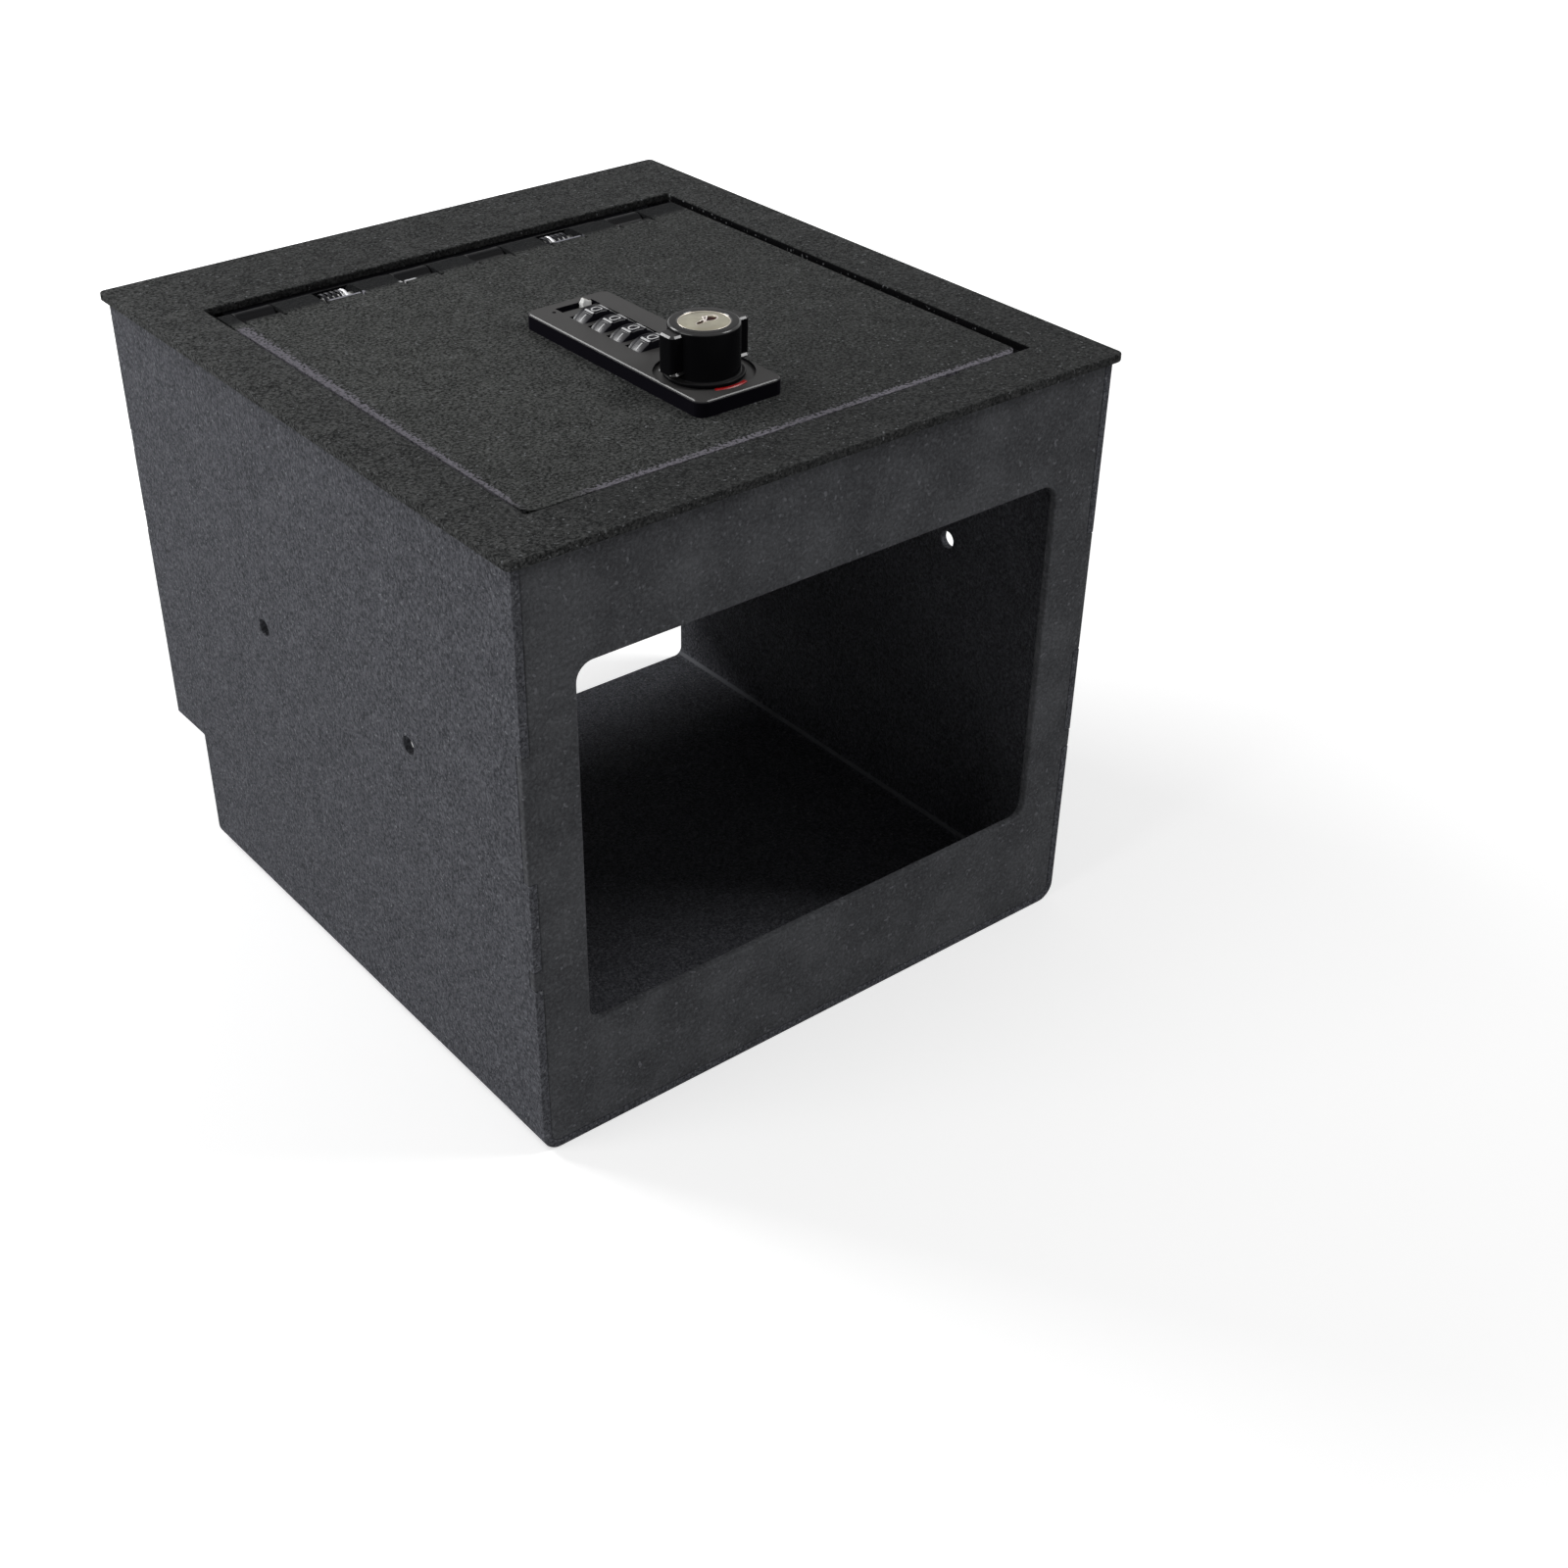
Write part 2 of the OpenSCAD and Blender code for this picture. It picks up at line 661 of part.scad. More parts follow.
// Screws that hold the lock's rear end to the lid
module fixing_screws() {
    color(bright) for (s = [-1, 1])
        screw_up(lock_x + s * fix_x, fix_y, lid_under, fix_screw_r, lid_t + fix_depth,
                 fix_head_r, fix_head_h);
}

// Washer between the lid and the barrel's nut
module barrel_washer() {
    color(bright) translate([lock_x, knob_y, lid_under - washer_t]) difference() {
        cylinder(r = barrel_r + washer_lip, h = washer_t);
        translate([0, 0, -eps]) cylinder(r = barrel_r + hole_fit, h = washer_t + 2 * eps);
    }
}

// Nut that clamps the lock to the lid
module barrel_nut() {
    color(bright) translate([lock_x, knob_y, lid_under - washer_t - nut_h]) difference() {
        cylinder(r = nut_flats / 2 / cos(30), h = nut_h, $fn = 6);
        translate([0, 0, -eps]) cylinder(r = barrel_r, h = nut_h + 2 * eps);
    }
}

// Shaft that the dials turn on
module dial_shaft() {
    color(bright) translate([lock_x, tub_y1 - tub_end / 2, dial_z]) rotate([90, 0, 0])
        cylinder(r = shaft_r, h = tub_y1 - tub_y0 - tub_end);
}

// Leaf spring under the dials, with one finger for each
module detent_spring() {
    color(bright) {
        for (i = [1:dial_count]) {
            block([lock_x - well_r + side_fit, dial_mid(i) - finger_w / 2, tub_z0],
                  [lock_x + well_r - side_fit, dial_mid(i) + finger_w / 2, tub_z0 + detent_t]);
            translate([lock_x, dial_mid(i), tub_z0]) rotate([90, 0, 0])
                linear_extrude(bump_w, center = true)
                    polygon([[-detent_foot, 0], [detent_foot, 0], [detent_tip, detent_t + detent_lift],
                             [-detent_tip, detent_t + detent_lift]]);
        }
    }
}

// Red arc that shows while the knob is not locked
module red_marker() {
    color("red") translate([lock_x, knob_y, recess_z])
        ring_sector(marker_r0, marker_r0 + marker_w, marker_from, marker_to, marker_h);
}

// Knob with two wings and the pocket of the key plug
module knob() {
    wing_z0 = knob_z0 + skirt_h + wing_gap - side_fit;
    color(dark) translate([lock_x, knob_y, 0]) difference() {
        union() {
            rotate_extrude() polygon([
                [0, knob_z0], [skirt_r, knob_z0], [skirt_r, knob_z0 + skirt_h], [knob_r, knob_z0 + skirt_h],
                [knob_r, knob_top - knob_round], [knob_r - knob_round, knob_top], [0, knob_top]]);
            translate([0, 0, wing_z0]) linear_extrude(knob_top - wing_drop - wing_z0)
                round_rect(-wing_span / 2, -wing_w / 2, wing_span / 2, wing_w / 2, wing_r);
        }
        translate([0, 0, plug_z0]) cylinder(r = plug_r + run_fit, h = plug_l + eps);
        translate([0, 0, knob_z0 - eps]) cylinder(r = spindle_r, h = spindle_up + eps);
    }
}

// Plug that the key turns, with its keyway
module key_plug() {
    z1 = knob_top - plug_sink;
    color(nickel) translate([lock_x, knob_y, 0]) difference() {
        translate([0, 0, plug_z0 + seat_gap]) cylinder(r = plug_r, h = z1 - plug_z0 - seat_gap);
        translate([-keyway_l / 2, -keyway_w / 2, z1 - keyway_depth])
            cube([keyway_l, keyway_w, keyway_depth + eps]);
        translate([0, 0, z1 - keyway_mouth])
            cylinder(r1 = keyway_w / 2, r2 = keyway_mouth, h = keyway_mouth + eps);
    }
}

// Shaft from the knob down through the barrel, square where the cam sits
module spindle() {
    color(bright) translate([lock_x, knob_y, 0]) difference() {
        union() {
            translate([0, 0, cam_z1]) cylinder(r = spindle_r, h = knob_z0 + spindle_up - cam_z1);
            translate([-square_w / 2, -square_w / 2, cam_z0]) cube([square_w, square_w, cam_t + eps]);
        }
        translate([0, 0, cam_z0 - eps]) cylinder(r = cam_screw_r, h = cam_thread_l + eps);
    }
}

// Cam that reaches under the keeper; it lies along X while unlocked
module cam() {
    tip_r = cam_w / 2;
    color(bright) translate([lock_x, knob_y, cam_z0]) difference() {
        union() {
            cylinder(r = cam_hub_r, h = cam_t);
            translate([0, -tip_r, 0]) cube([cam_l - tip_r, cam_w, cam_t]);
            translate([cam_l - tip_r, 0, 0]) cylinder(r = tip_r, h = cam_t);
        }
        translate([-square_w / 2, -square_w / 2, -eps]) cube([square_w, square_w, cam_t + 2 * eps]);
    }
}

// Washer under the cam's screw
module cam_washer() {
    color(bright) translate([lock_x, knob_y, cam_z0 - cam_washer_t]) difference() {
        cylinder(r = cam_washer_r, h = cam_washer_t);
        translate([0, 0, -eps]) cylinder(r = cam_screw_r + hole_fit, h = cam_washer_t + 2 * eps);
    }
}

// Screw that holds the cam on the spindle
module cam_screw() {
    color(bright) screw_up(lock_x, knob_y, cam_z0 - cam_washer_t, cam_screw_r, cam_washer_t + cam_thread_l,
                           cam_head_r, cam_head_h);
}

// White slide in the slot above the dials, used to set the code; its top rises to a thumb grip
module code_slide() {
    x1 = slot_x0 + slot_l - slide_end;
    color("white") {
        translate([x1 - slide_l, slot_y + slot_w / 2 - slide_fit, face_z]) rotate([90, 0, 0])
            linear_extrude(slot_w - 2 * slide_fit)
                polygon([[0, slide_fit - slot_depth], [slide_l, slide_fit - slot_depth],
                         [slide_l, slide_edge], [slide_rise, slide_peak], [0, slide_edge]]);
    }
}

// One dial: a part with a rib between every two digits and a plain collar behind it
module dial(i) {
    color(dark) translate([lock_x, dial_y(i), dial_z]) rotate([90, 0, 0]) difference() {
        union() {
            linear_extrude(digit_w, center = true) {
                circle(dial_r - rib_h);
                for (k = [0:digit_count - 1]) rotate(360 * (k + 0.5) / digit_count)
                    translate([-rib_w / 2, dial_r - rib_h - weld_in]) square([rib_w, rib_h + weld_in]);
            }
            translate([0, 0, -digit_w / 2 - collar_w]) cylinder(r = dial_r - collar_drop, h = dial_w - eps);
        }
        translate([0, 0, -digit_w / 2 - collar_w - eps])
            cylinder(r = shaft_r + run_fit, h = dial_w + 2 * eps);
    }
}

case_wrap();
front_panel();
rear_panel();
top_plate();
lid_ledge();
keeper_bracket();
hinge_leaf();
hinge_pin();
hinge_springs();
lid_plate();
lock_housing();
lock_back_cover();
cover_screws();
fixing_screws();
barrel_washer();
barrel_nut();
dial_shaft();
detent_spring();
red_marker();
knob();
spindle();
cam();
cam_washer();
cam_screw();
key_plug();
code_slide();
dial(1);  // dial_1
dial(2);  // dial_2
dial(3);  // dial_3
dial(4);  // dial_4
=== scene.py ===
"""Looks of a console safe: a folded steel case with a window, a hinged lid and a combination cam lock.

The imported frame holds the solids. This script rounds the edges of the sheet metal, builds the pieces
of the lock and the hinge as parametric surfaces, gives every surface a procedural finish and sets up
a plain studio.
"""

import logging
import math
from dataclasses import dataclass, field
from enum import Enum

import bmesh
import bpy
import numpy as np
from mathutils import Matrix, Vector


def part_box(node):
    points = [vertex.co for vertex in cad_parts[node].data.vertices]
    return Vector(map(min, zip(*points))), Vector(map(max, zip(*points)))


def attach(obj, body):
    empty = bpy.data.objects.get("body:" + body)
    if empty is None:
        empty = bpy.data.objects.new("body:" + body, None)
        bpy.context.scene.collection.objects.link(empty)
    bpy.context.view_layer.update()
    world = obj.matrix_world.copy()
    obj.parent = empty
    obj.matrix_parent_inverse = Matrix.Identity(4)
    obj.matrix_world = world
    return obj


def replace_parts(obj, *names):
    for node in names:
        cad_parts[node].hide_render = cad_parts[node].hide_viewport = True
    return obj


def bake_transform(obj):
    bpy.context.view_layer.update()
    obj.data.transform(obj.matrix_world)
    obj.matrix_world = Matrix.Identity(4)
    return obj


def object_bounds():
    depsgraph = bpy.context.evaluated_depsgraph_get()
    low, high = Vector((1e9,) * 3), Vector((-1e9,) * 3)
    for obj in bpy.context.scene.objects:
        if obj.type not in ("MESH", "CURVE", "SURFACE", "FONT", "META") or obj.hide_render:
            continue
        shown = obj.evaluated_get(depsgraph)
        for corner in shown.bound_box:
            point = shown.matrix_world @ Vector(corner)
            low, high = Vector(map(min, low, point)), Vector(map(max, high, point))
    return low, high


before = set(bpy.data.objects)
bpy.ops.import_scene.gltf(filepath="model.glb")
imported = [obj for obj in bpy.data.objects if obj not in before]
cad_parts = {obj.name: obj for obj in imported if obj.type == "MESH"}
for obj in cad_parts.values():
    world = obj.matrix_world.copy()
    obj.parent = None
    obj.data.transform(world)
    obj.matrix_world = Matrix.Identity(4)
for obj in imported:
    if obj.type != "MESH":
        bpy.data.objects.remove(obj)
CAD_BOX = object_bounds()

MM = 0.001
Colour = tuple[float, float, float]
log = logging.getLogger("console_safe")


class Body(str, Enum):
    """The bodies of the frame that pieces ride on."""

    CASE = "case"
    LID = "lid"
    KNOB = "knob"
    KEY = "key_plug"
    SLIDE = "code_slide"
    DIAL_1 = "dial_1"
    DIAL_2 = "dial_2"
    DIAL_3 = "dial_3"
    DIAL_4 = "dial_4"


class Slot(str, Enum):
    """The record's material slots."""

    CASE = "case_coat"
    TOP = "top_coat"
    HINGE = "hinge_coat"
    ZINC = "zinc_steel"
    WIRE = "spring_steel"
    LOCK = "lock_black"
    KNOB = "knob_black"
    DIAL = "dial_black"
    NICKEL = "nickel"
    RED = "red_plastic"
    WHITE = "white_plastic"


class Sock:
    """A socket of a shader that takes part in Python arithmetic."""

    def __init__(self, shader: "Shader", socket: bpy.types.NodeSocket) -> None:
        """Keeps the shader and the output socket."""
        self.shader = shader
        self.socket = socket

    def _join(self, operation: str, first: object, second: object) -> "Sock":
        """One Math node of two values.

        Args:
            operation: the Math node's operation.
            first: a socket or a number.
            second: a socket or a number.

        Returns:
            The node's result.
        """
        return self.shader.node("ShaderNodeMath", {"operation": operation}, {0: first, 1: second})

    def __add__(self, other: object) -> "Sock":
        """The sum."""
        return self._join("ADD", self, other)

    __radd__ = __add__

    def __sub__(self, other: object) -> "Sock":
        """The difference."""
        return self._join("SUBTRACT", self, other)

    def __rsub__(self, other: object) -> "Sock":
        """The difference, the other way round."""
        return self._join("SUBTRACT", other, self)

    def __mul__(self, other: object) -> "Sock":
        """The product."""
        return self._join("MULTIPLY", self, other)

    __rmul__ = __mul__

    def __truediv__(self, other: object) -> "Sock":
        """The quotient."""
        return self._join("DIVIDE", self, other)

    def __pow__(self, other: object) -> "Sock":
        """The power."""
        return self._join("POWER", self, other)

    def size(self) -> "Sock":
        """The absolute value."""
        return self._join("ABSOLUTE", self, 0.0)

    def output(self, name: str) -> "Sock":
        """Another output of the same node."""
        return Sock(self.shader, self.socket.node.outputs[name])

    def between(self, low: float, high: float) -> "Sock":
        """A smooth step.

        Args:
            low: the value where the step starts.
            high: the value where the step ends.

        Returns:
            0 before low, 1 after high, and a smooth rise between them.
        """
        settings = {"interpolation_type": "SMOOTHSTEP"}
        sockets = {"Value": self, "From Min": low, "From Max": high}
        return self.shader.node("ShaderNodeMapRange", settings, sockets)


class Shader:
    """The node tree of one material."""

    def __init__(self, name: str) -> None:
        """Makes an empty material with that name."""
        self.material = bpy.data.materials.new(name)
        self.material.use_nodes = True
        self.tree = self.material.node_tree
        self.tree.nodes.clear()

    def node(
        self, kind: str, settings: dict[str, object], sockets: dict[object, object], out: object = 0
    ) -> Sock:
        """Adds a node.

        Args:
            kind: the node's type.
            settings: its properties, set first; "stops" holds a ramp's (place, colour) pairs.
            sockets: the values or links of its inputs, by name or index.
            out: the output to hand back, by name or index.

        Returns:
            The chosen output.
        """
        made = self.tree.nodes.new(kind)
        for key, value in settings.items():
            if key == "stops":
                elements = made.color_ramp.elements
                for index, (place, colour) in enumerate(value):
                    stop = elements[index] if index < 2 else elements.new(place)
                    stop.position, stop.color = place, (*colour, 1.0)
            else:
                setattr(made, key, value)
        for key, value in sockets.items():
            if isinstance(value, Sock):
                self.tree.links.new(value.socket, made.inputs[key])
            else:
                made.inputs[key].default_value = value
        return Sock(self, made.outputs[out])

    def place(self) -> Sock:
        """Object coordinates, which are the frame's coordinates in metres."""
        return self.node("ShaderNodeTexCoord", {}, {}, "Object")

    def axes(self, vector: Sock) -> tuple[Sock, Sock, Sock]:
        """The three components of a vector."""
        split = self.node("ShaderNodeSeparateXYZ", {}, {0: vector})
        return split, split.output("Y"), split.output("Z")

    def stretched(self, scale: tuple[float, float, float]) -> Sock:
        """Object coordinates, scaled along each axis."""
        return self.node("ShaderNodeMapping", {}, {"Vector": self.place(), "Scale": scale})

    def normal(self) -> Sock:
        """The direction of the surface, in the frame's axes."""
        return self.node("ShaderNodeTexCoord", {}, {}, "Normal")

    def noise(
        self, vector: Sock, scale: float, detail: float = 3.0, rough: float = 0.55, warp: float = 0.0
    ) -> Sock:
        """Fractal noise from 0 to 1.

        Args:
            vector: its coordinates.
            scale: how many cells it has in a metre.
            detail: how many finer layers are added.
            rough: how strong each finer layer is.
            warp: how far its coordinates are bent.

        Returns:
            The noise.
        """
        sockets = {"Vector": vector, "Scale": scale, "Detail": detail, "Roughness": rough,
                   "Distortion": warp}
        return self.node("ShaderNodeTexNoise", {}, sockets)

    def mix(self, factor: object, first: object, second: object) -> Sock:
        """A blend of two colours."""
        pair = {0: factor, 6: rgba(first), 7: rgba(second)}
        return self.node("ShaderNodeMix", {"data_type": "RGBA"}, pair, 2)

    def bump(self, height: Sock, depth: float, strength: float = 1.0) -> Sock:
        """A normal from a height of 0 to 1 that stands for that many metres."""
        return self.node("ShaderNodeBump", {}, {"Height": height, "Distance": depth, "Strength": strength})

    def finish(self, sockets: dict[str, object]) -> bpy.types.Material:
        """Ends the tree with a Principled shader.

        Args:
            sockets: values and links of the shader's inputs.

        Returns:
            The material.
        """
        ready = {key: rgba(value) if key == "Base Color" else value for key, value in sockets.items()}
        surface = self.node("ShaderNodeBsdfPrincipled", {}, ready)
        self.node_out(surface)
        return self.material

    def node_out(self, surface: Sock) -> None:
        """Links a shader to the material's output."""
        end = self.tree.nodes.new("ShaderNodeOutputMaterial")
        self.tree.links.new(surface.socket, end.inputs["Surface"])


def rgba(colour: object) -> object:
    """A colour with its alpha, or a socket as it is."""
    return colour if isinstance(colour, Sock) else (*colour, 1.0)


@dataclass(frozen=True)
class PaintedShade:
    """Painted shade on a coat: it turns darker by a share towards the right and a share towards the front.

    Each of the two holds its share and the places along X or Y, in metres, between which it changes.
    """

    colour: Colour
    right: tuple[float, float, float]
    front: tuple[float, float, float]

    def mask(self, shader: Shader) -> Sock:
        """How much of the painted shade shows."""
        along_x, along_y, _ = shader.axes(shader.place())
        right_share, left, right = self.right
        front_share, front, rear = self.front
        ahead = 1.0 - along_y.between(front, rear)
        return right_share * along_x.between(left, right) + front_share * ahead


@dataclass(frozen=True)
class PowderCoat:
    """A near-black textured powder coat: curled pits, fine grain, blotches and light specks.

    The pits lie where a warped noise is near its middle value, and the specks are the peaks of another.
    A piece may also have painted shade: a fade towards the right and the front, dark cut faces in a
    hollow and dark rolled knuckles; and painted highlights: a light line on the inner bends, a light band
    along two edges and light lines on the notches' sharp edges. Lengths are in metres.
    """

    name: str
    dark: Colour
    light: Colour
    speck: Colour = (0.150, 0.155, 0.160)
    stretch: tuple[float, float, float] = (1.0, 1.0, 1.0)
    curls: float = 720.0
    pit_width: float = 0.28
    pit_share: float = 0.36
    grain: float = 1150.0
    grain_range: tuple[float, float] = (0.38, 0.62)
    blotches: float = 110.0
    blotch_range: tuple[float, float] = (0.3, 0.7)
    blotch_share: float = 0.14
    specks: float = 900.0
    speck_from: float = 0.66
    speck_rise: float = 0.1
    roughness: float = 0.6
    unevenness: float = 0.15
    shine: float = 0.01
    depth: float = 0.00022
    relief: tuple[float, float, float] = (0.55, 0.45, 0.6)
    # painted highlight along the lid's left and front edges
    edge_highlight: Colour = (0.172, 0.164, 0.188)
    highlight_edges: tuple[float, float] | None = None
    highlight_width: tuple[float, float] = (0.0014, 0.0024)
    highlight_taper: float = 0.015
    highlight_rear: tuple[float, float] = (0.056, 0.058)
    highlight_faint: float = 0.35
    # painted shade on the lid's rolled knuckles at the rear
    knuckles: float | None = None
    knuckle_share: float = 0.85
    knuckle_run: float = 0.004
    knuckle_shade_colour: Colour = (0.010, 0.0105, 0.0115)
    # painted highlights along the front edges of the hinge notches
    notch_glints: tuple[tuple[float, float, float, Colour], ...] = ()
    glint_end: float = 0.0012
    glint_half: tuple[float, float] = (0.0005, 0.0008)
    # painted shade on the cut faces of the opening
    hollow: tuple[float, float, float] | None = None
    hollow_edge: float = 0.001
    hollow_shade_colour: Colour = (0.004, 0.004, 0.0045)
    rear_lighter: float = 0.45
    lying: tuple[float, float] = (0.35, 0.8)
    # painted highlight: a light line on the inner bends
    bend_highlight: Colour | None = None
    slanting: tuple[float, float] = (0.45, 0.6)
    # painted shade: the coat darker towards the right and the front
    fade: PaintedShade | None = None

    def build(self) -> bpy.types.Material:
        """Makes the material."""
        shader = Shader(self.name)
        place = shader.stretched(self.stretch)
        fine = shader.noise(place, self.grain, 2.0, 0.6)
        curl = shader.noise(place, self.curls, 3.0, 0.6, 0.4)
        ridge = ((curl - 0.5).size() * 2.0).between(0.0, self.pit_width)
        blotch = shader.noise(shader.place(), self.blotches, 3.0, 0.6).between(*self.blotch_range)
        rest = 1.0 - self.pit_share - self.blotch_share
        tone = ridge * self.pit_share + blotch * self.blotch_share + fine.between(*self.grain_range) * rest
        colour = shader.mix(tone, self.dark, self.light)
        peak = shader.noise(shader.place(), self.specks, 1.0)
        dot = peak.between(self.speck_from, self.speck_from + self.speck_rise)
        # painted shade: a darker colour mixed in towards the right and the front
        if self.fade:
            colour = shader.mix(self.fade.mask(shader), colour, self.fade.colour)
        # painted shade on the dark cut faces of the opening
        if self.hollow:
            colour = shader.mix(self.hollow_shade_mask(shader), colour, self.hollow_shade_colour)
        colour = shader.mix(dot, colour, self.speck)
        # painted highlight: a light line where the normal slants up and sideways, on the inner bends
        if self.bend_highlight:
            across, _, upward = shader.axes(shader.normal())
            bend = upward.between(*self.slanting) * across.size().between(*self.slanting)
            colour = shader.mix(bend, colour, self.bend_highlight)
        # painted highlight along the lid's left and front edges
        if self.highlight_edges:
            colour = shader.mix(self.edge_highlight_mask(shader, fine), colour, self.edge_highlight)
        # painted shade on the lid's rolled knuckles at the rear
        if self.knuckles:
            rear = shader.axes(shader.place())[1].between(self.knuckles - self.knuckle_run, self.knuckles)
            colour = shader.mix(rear * self.knuckle_share, colour, self.knuckle_shade_colour)
        # painted highlights along the front edges of the hinge notches
        for first, last, glint_y, glint_colour in self.notch_glints:
            colour = shader.mix(self.notch_glint_mask(shader, fine, first, last, glint_y), colour, glint_colour)
        pit_relief, grain_relief, speck_relief = self.relief
        height = ridge * pit_relief + fine * grain_relief + dot * speck_relief
        return shader.finish(
            {
                "Base Color": colour,
                "Roughness": self.roughness + self.unevenness * (fine - 0.5),
                "Specular IOR Level": self.shine,
                "Normal": shader.bump(height, self.depth),
            }
        )

    def edge_highlight_mask(self, shader: Shader, fine: Sock) -> Sock:
        """A ragged painted highlight along the lid's left edge, wider at the back, and along its front
        edge.

        Args:
            shader: the material's nodes.
            fine: the coat's grain, which makes the highlight ragged.

        Returns:
            How much of the painted highlight shows.
        """
        along_x, along_y, _ = shader.axes(shader.place())
        left, front = self.highlight_edges
        side_width, front_width = self.highlight_width
        ragged = 3.0 * fine - 0.6
        left_width = (along_y - front) * self.highlight_taper + side_width
        near_left = 1.0 - ((along_x - left) / (left_width * ragged)).between(0.7, 1.1)
        before_rear = 1.0 - along_y.between(*self.highlight_rear)
        near_left = near_left * before_rear * along_y.between(front, front + 0.012)
        near_front = 1.0 - ((along_y - front) / (front_width * ragged)).between(0.6, 1.1)
        near_front = near_front * along_x.between(left + 0.012, left + 0.025)
        both = shader.node("ShaderNodeMath", {"operation": "MAXIMUM"}, {0: near_left, 1: near_front})
        return both * (self.highlight_faint + (1.0 - self.highlight_faint) * fine.between(0.38, 0.55))

    def notch_glint_mask(self, shader: Shader, fine: Sock, first: float, last: float, glint_y: float) -> Sock:
        """A ragged painted highlight along X, on the sharp front edge of a hinge notch.

        Args:
            shader: the material's nodes.
            fine: the coat's grain, which makes the line ragged.
            first: the line's left end.
            last: the line's right end.
            glint_y: the line's place along Y.

        Returns:
            How much of the highlight's colour shows.
        """
        along_x, along_y, _ = shader.axes(shader.place())
        end = self.glint_end
        within = along_x.between(first, first + end) * (1.0 - along_x.between(last - end, last))
        across = 1.0 - (along_y - glint_y).size().between(*self.glint_half)
        return within * across * fine.between(0.2, 0.45)

    def hollow_shade_mask(self, shader: Shader) -> Sock:
        """Painted shade on the cut faces of the lid's opening, which stay dark, the rear one less than the
        others.

        Args:
            shader: the material's nodes.

        Returns:
            How much of the painted shade shows.
        """
        along_x, along_y, _ = shader.axes(shader.place())
        side, front, rear = self.hollow
        edge = self.hollow_edge
        inside = (1.0 - along_x.size().between(side, side + edge)) * along_y.between(front - edge, front)
        lies_flat = shader.axes(shader.normal())[2].size().between(*self.lying)
        lighter = self.rear_lighter * along_y.between(rear, rear + edge)
        return (1.0 - lies_flat) * inside * (1.0 - lighter)


@dataclass(frozen=True)
class SmoothCoat:
    """A smooth coat or plastic with a faint unevenness.

    Upright faces may have a colour of their own, so that the flat faces and the upright sides of one
    material are lit and shaded copies: painted light and shade. Slanting faces, such as bevels and round
    edges, may be glossier than the rest, everywhere or above a height. Lengths are in metres.
    """

    name: str
    colour: Colour
    roughness: float = 0.3
    gloss: float = 0.0
    shine: float = 0.5
    uneven: float = 120.0
    grain: float = 2500.0
    depth: float = 0.00001
    shade: float = 0.8
    # colour of upright faces: painted light and shade against the flat faces' colour
    upright: Colour | None = None
    gloss_roughness: float = 0.2
    gloss_above: float | None = None
    gloss_rise: float = 0.00005
    slant_from: tuple[float, float] = (0.25, 0.45)
    slant_to: tuple[float, float] = (0.88, 0.97)
    flat_from: tuple[float, float] = (0.5, 0.95)

    def build(self) -> bpy.types.Material:
        """Makes the material."""
        shader = Shader(self.name)
        place = shader.place()
        cloud = shader.noise(place, self.uneven, 2.0)
        fine = shader.noise(place, self.grain, 2.0)
        darker = tuple(self.shade * part for part in self.colour)
        colour = shader.mix(cloud, darker, self.colour)
        level = shader.axes(shader.normal())[2]
        slant = level.size().between(*self.slant_from) * (1.0 - level.size().between(*self.slant_to))
        if self.gloss_above:
            height = shader.axes(place)[2]
            slant = slant * height.between(self.gloss_above, self.gloss_above + self.gloss_rise)
        # painted light and shade: upright faces get their own colour, flat faces keep the coat's
        if self.upright:
            colour = shader.mix(level.between(*self.flat_from), self.upright, colour)
        return shader.finish(
            {
                "Base Color": colour,
                "Roughness": self.roughness + 0.08 * (fine - 0.5) + 0.06 * (cloud - 0.5),
                "Specular IOR Level": self.shine,
                "Coat Weight": slant * self.gloss if self.gloss else 0.0,
                "Coat Roughness": self.gloss_roughness,
                "Normal": shader.bump(fine, self.depth),
            }
        )


@dataclass(frozen=True)
class BareMetal:
    """Plated or brushed metal with fine scratches along one direction and clouds of tarnish."""

    name: str
    colour: Colour
    tarnish: Colour
    roughness: float = 0.3
    stretch: tuple[float, float, float] = (1.0, 1.0, 1.0)
    scratches: float = 2600.0
    clouds: float = 140.0
    depth: float = 0.000012
    bright_at: tuple[tuple[float, float], ...] = ()
    bright_end: float = 0.0003
    # painted shade on the wire outside the bright bands
    painted_shade_colour: Colour = (0.014, 0.014, 0.016)

    def build(self) -> bpy.types.Material:
        """Makes the material."""
        shader = Shader(self.name)
        lines = shader.noise(shader.stretched(self.stretch), self.scratches, 3.0, 0.6)
        cloud = shader.noise(shader.place(), self.clouds, 3.0, 0.6)
        tone = (cloud * 0.7 + lines * 0.3).between(0.35, 0.7)
        colour = shader.mix(tone, self.tarnish, self.colour)
        if self.bright_at:
            colour = shader.mix(self.bright_mask(shader), self.painted_shade_colour, colour)
        return shader.finish(
            {
                "Base Color": colour,
                "Metallic": 1.0,
                "Roughness": self.roughness + 0.15 * (lines - 0.5) + 0.1 * (cloud - 0.5),
                "Normal": shader.bump(lines, self.depth),
            }
        )

    def bright_mask(self, shader: Shader) -> Sock:
        """Bands across X that keep the wire's bright colour, while the rest is painted dark as shade."""
        along_x = shader.axes(shader.place())[0]
        bands = [1.0 - (along_x - centre).size().between(half, half + self.bright_end)
                 for centre, half in self.bright_at]
        return sum(bands[1:], bands[0])


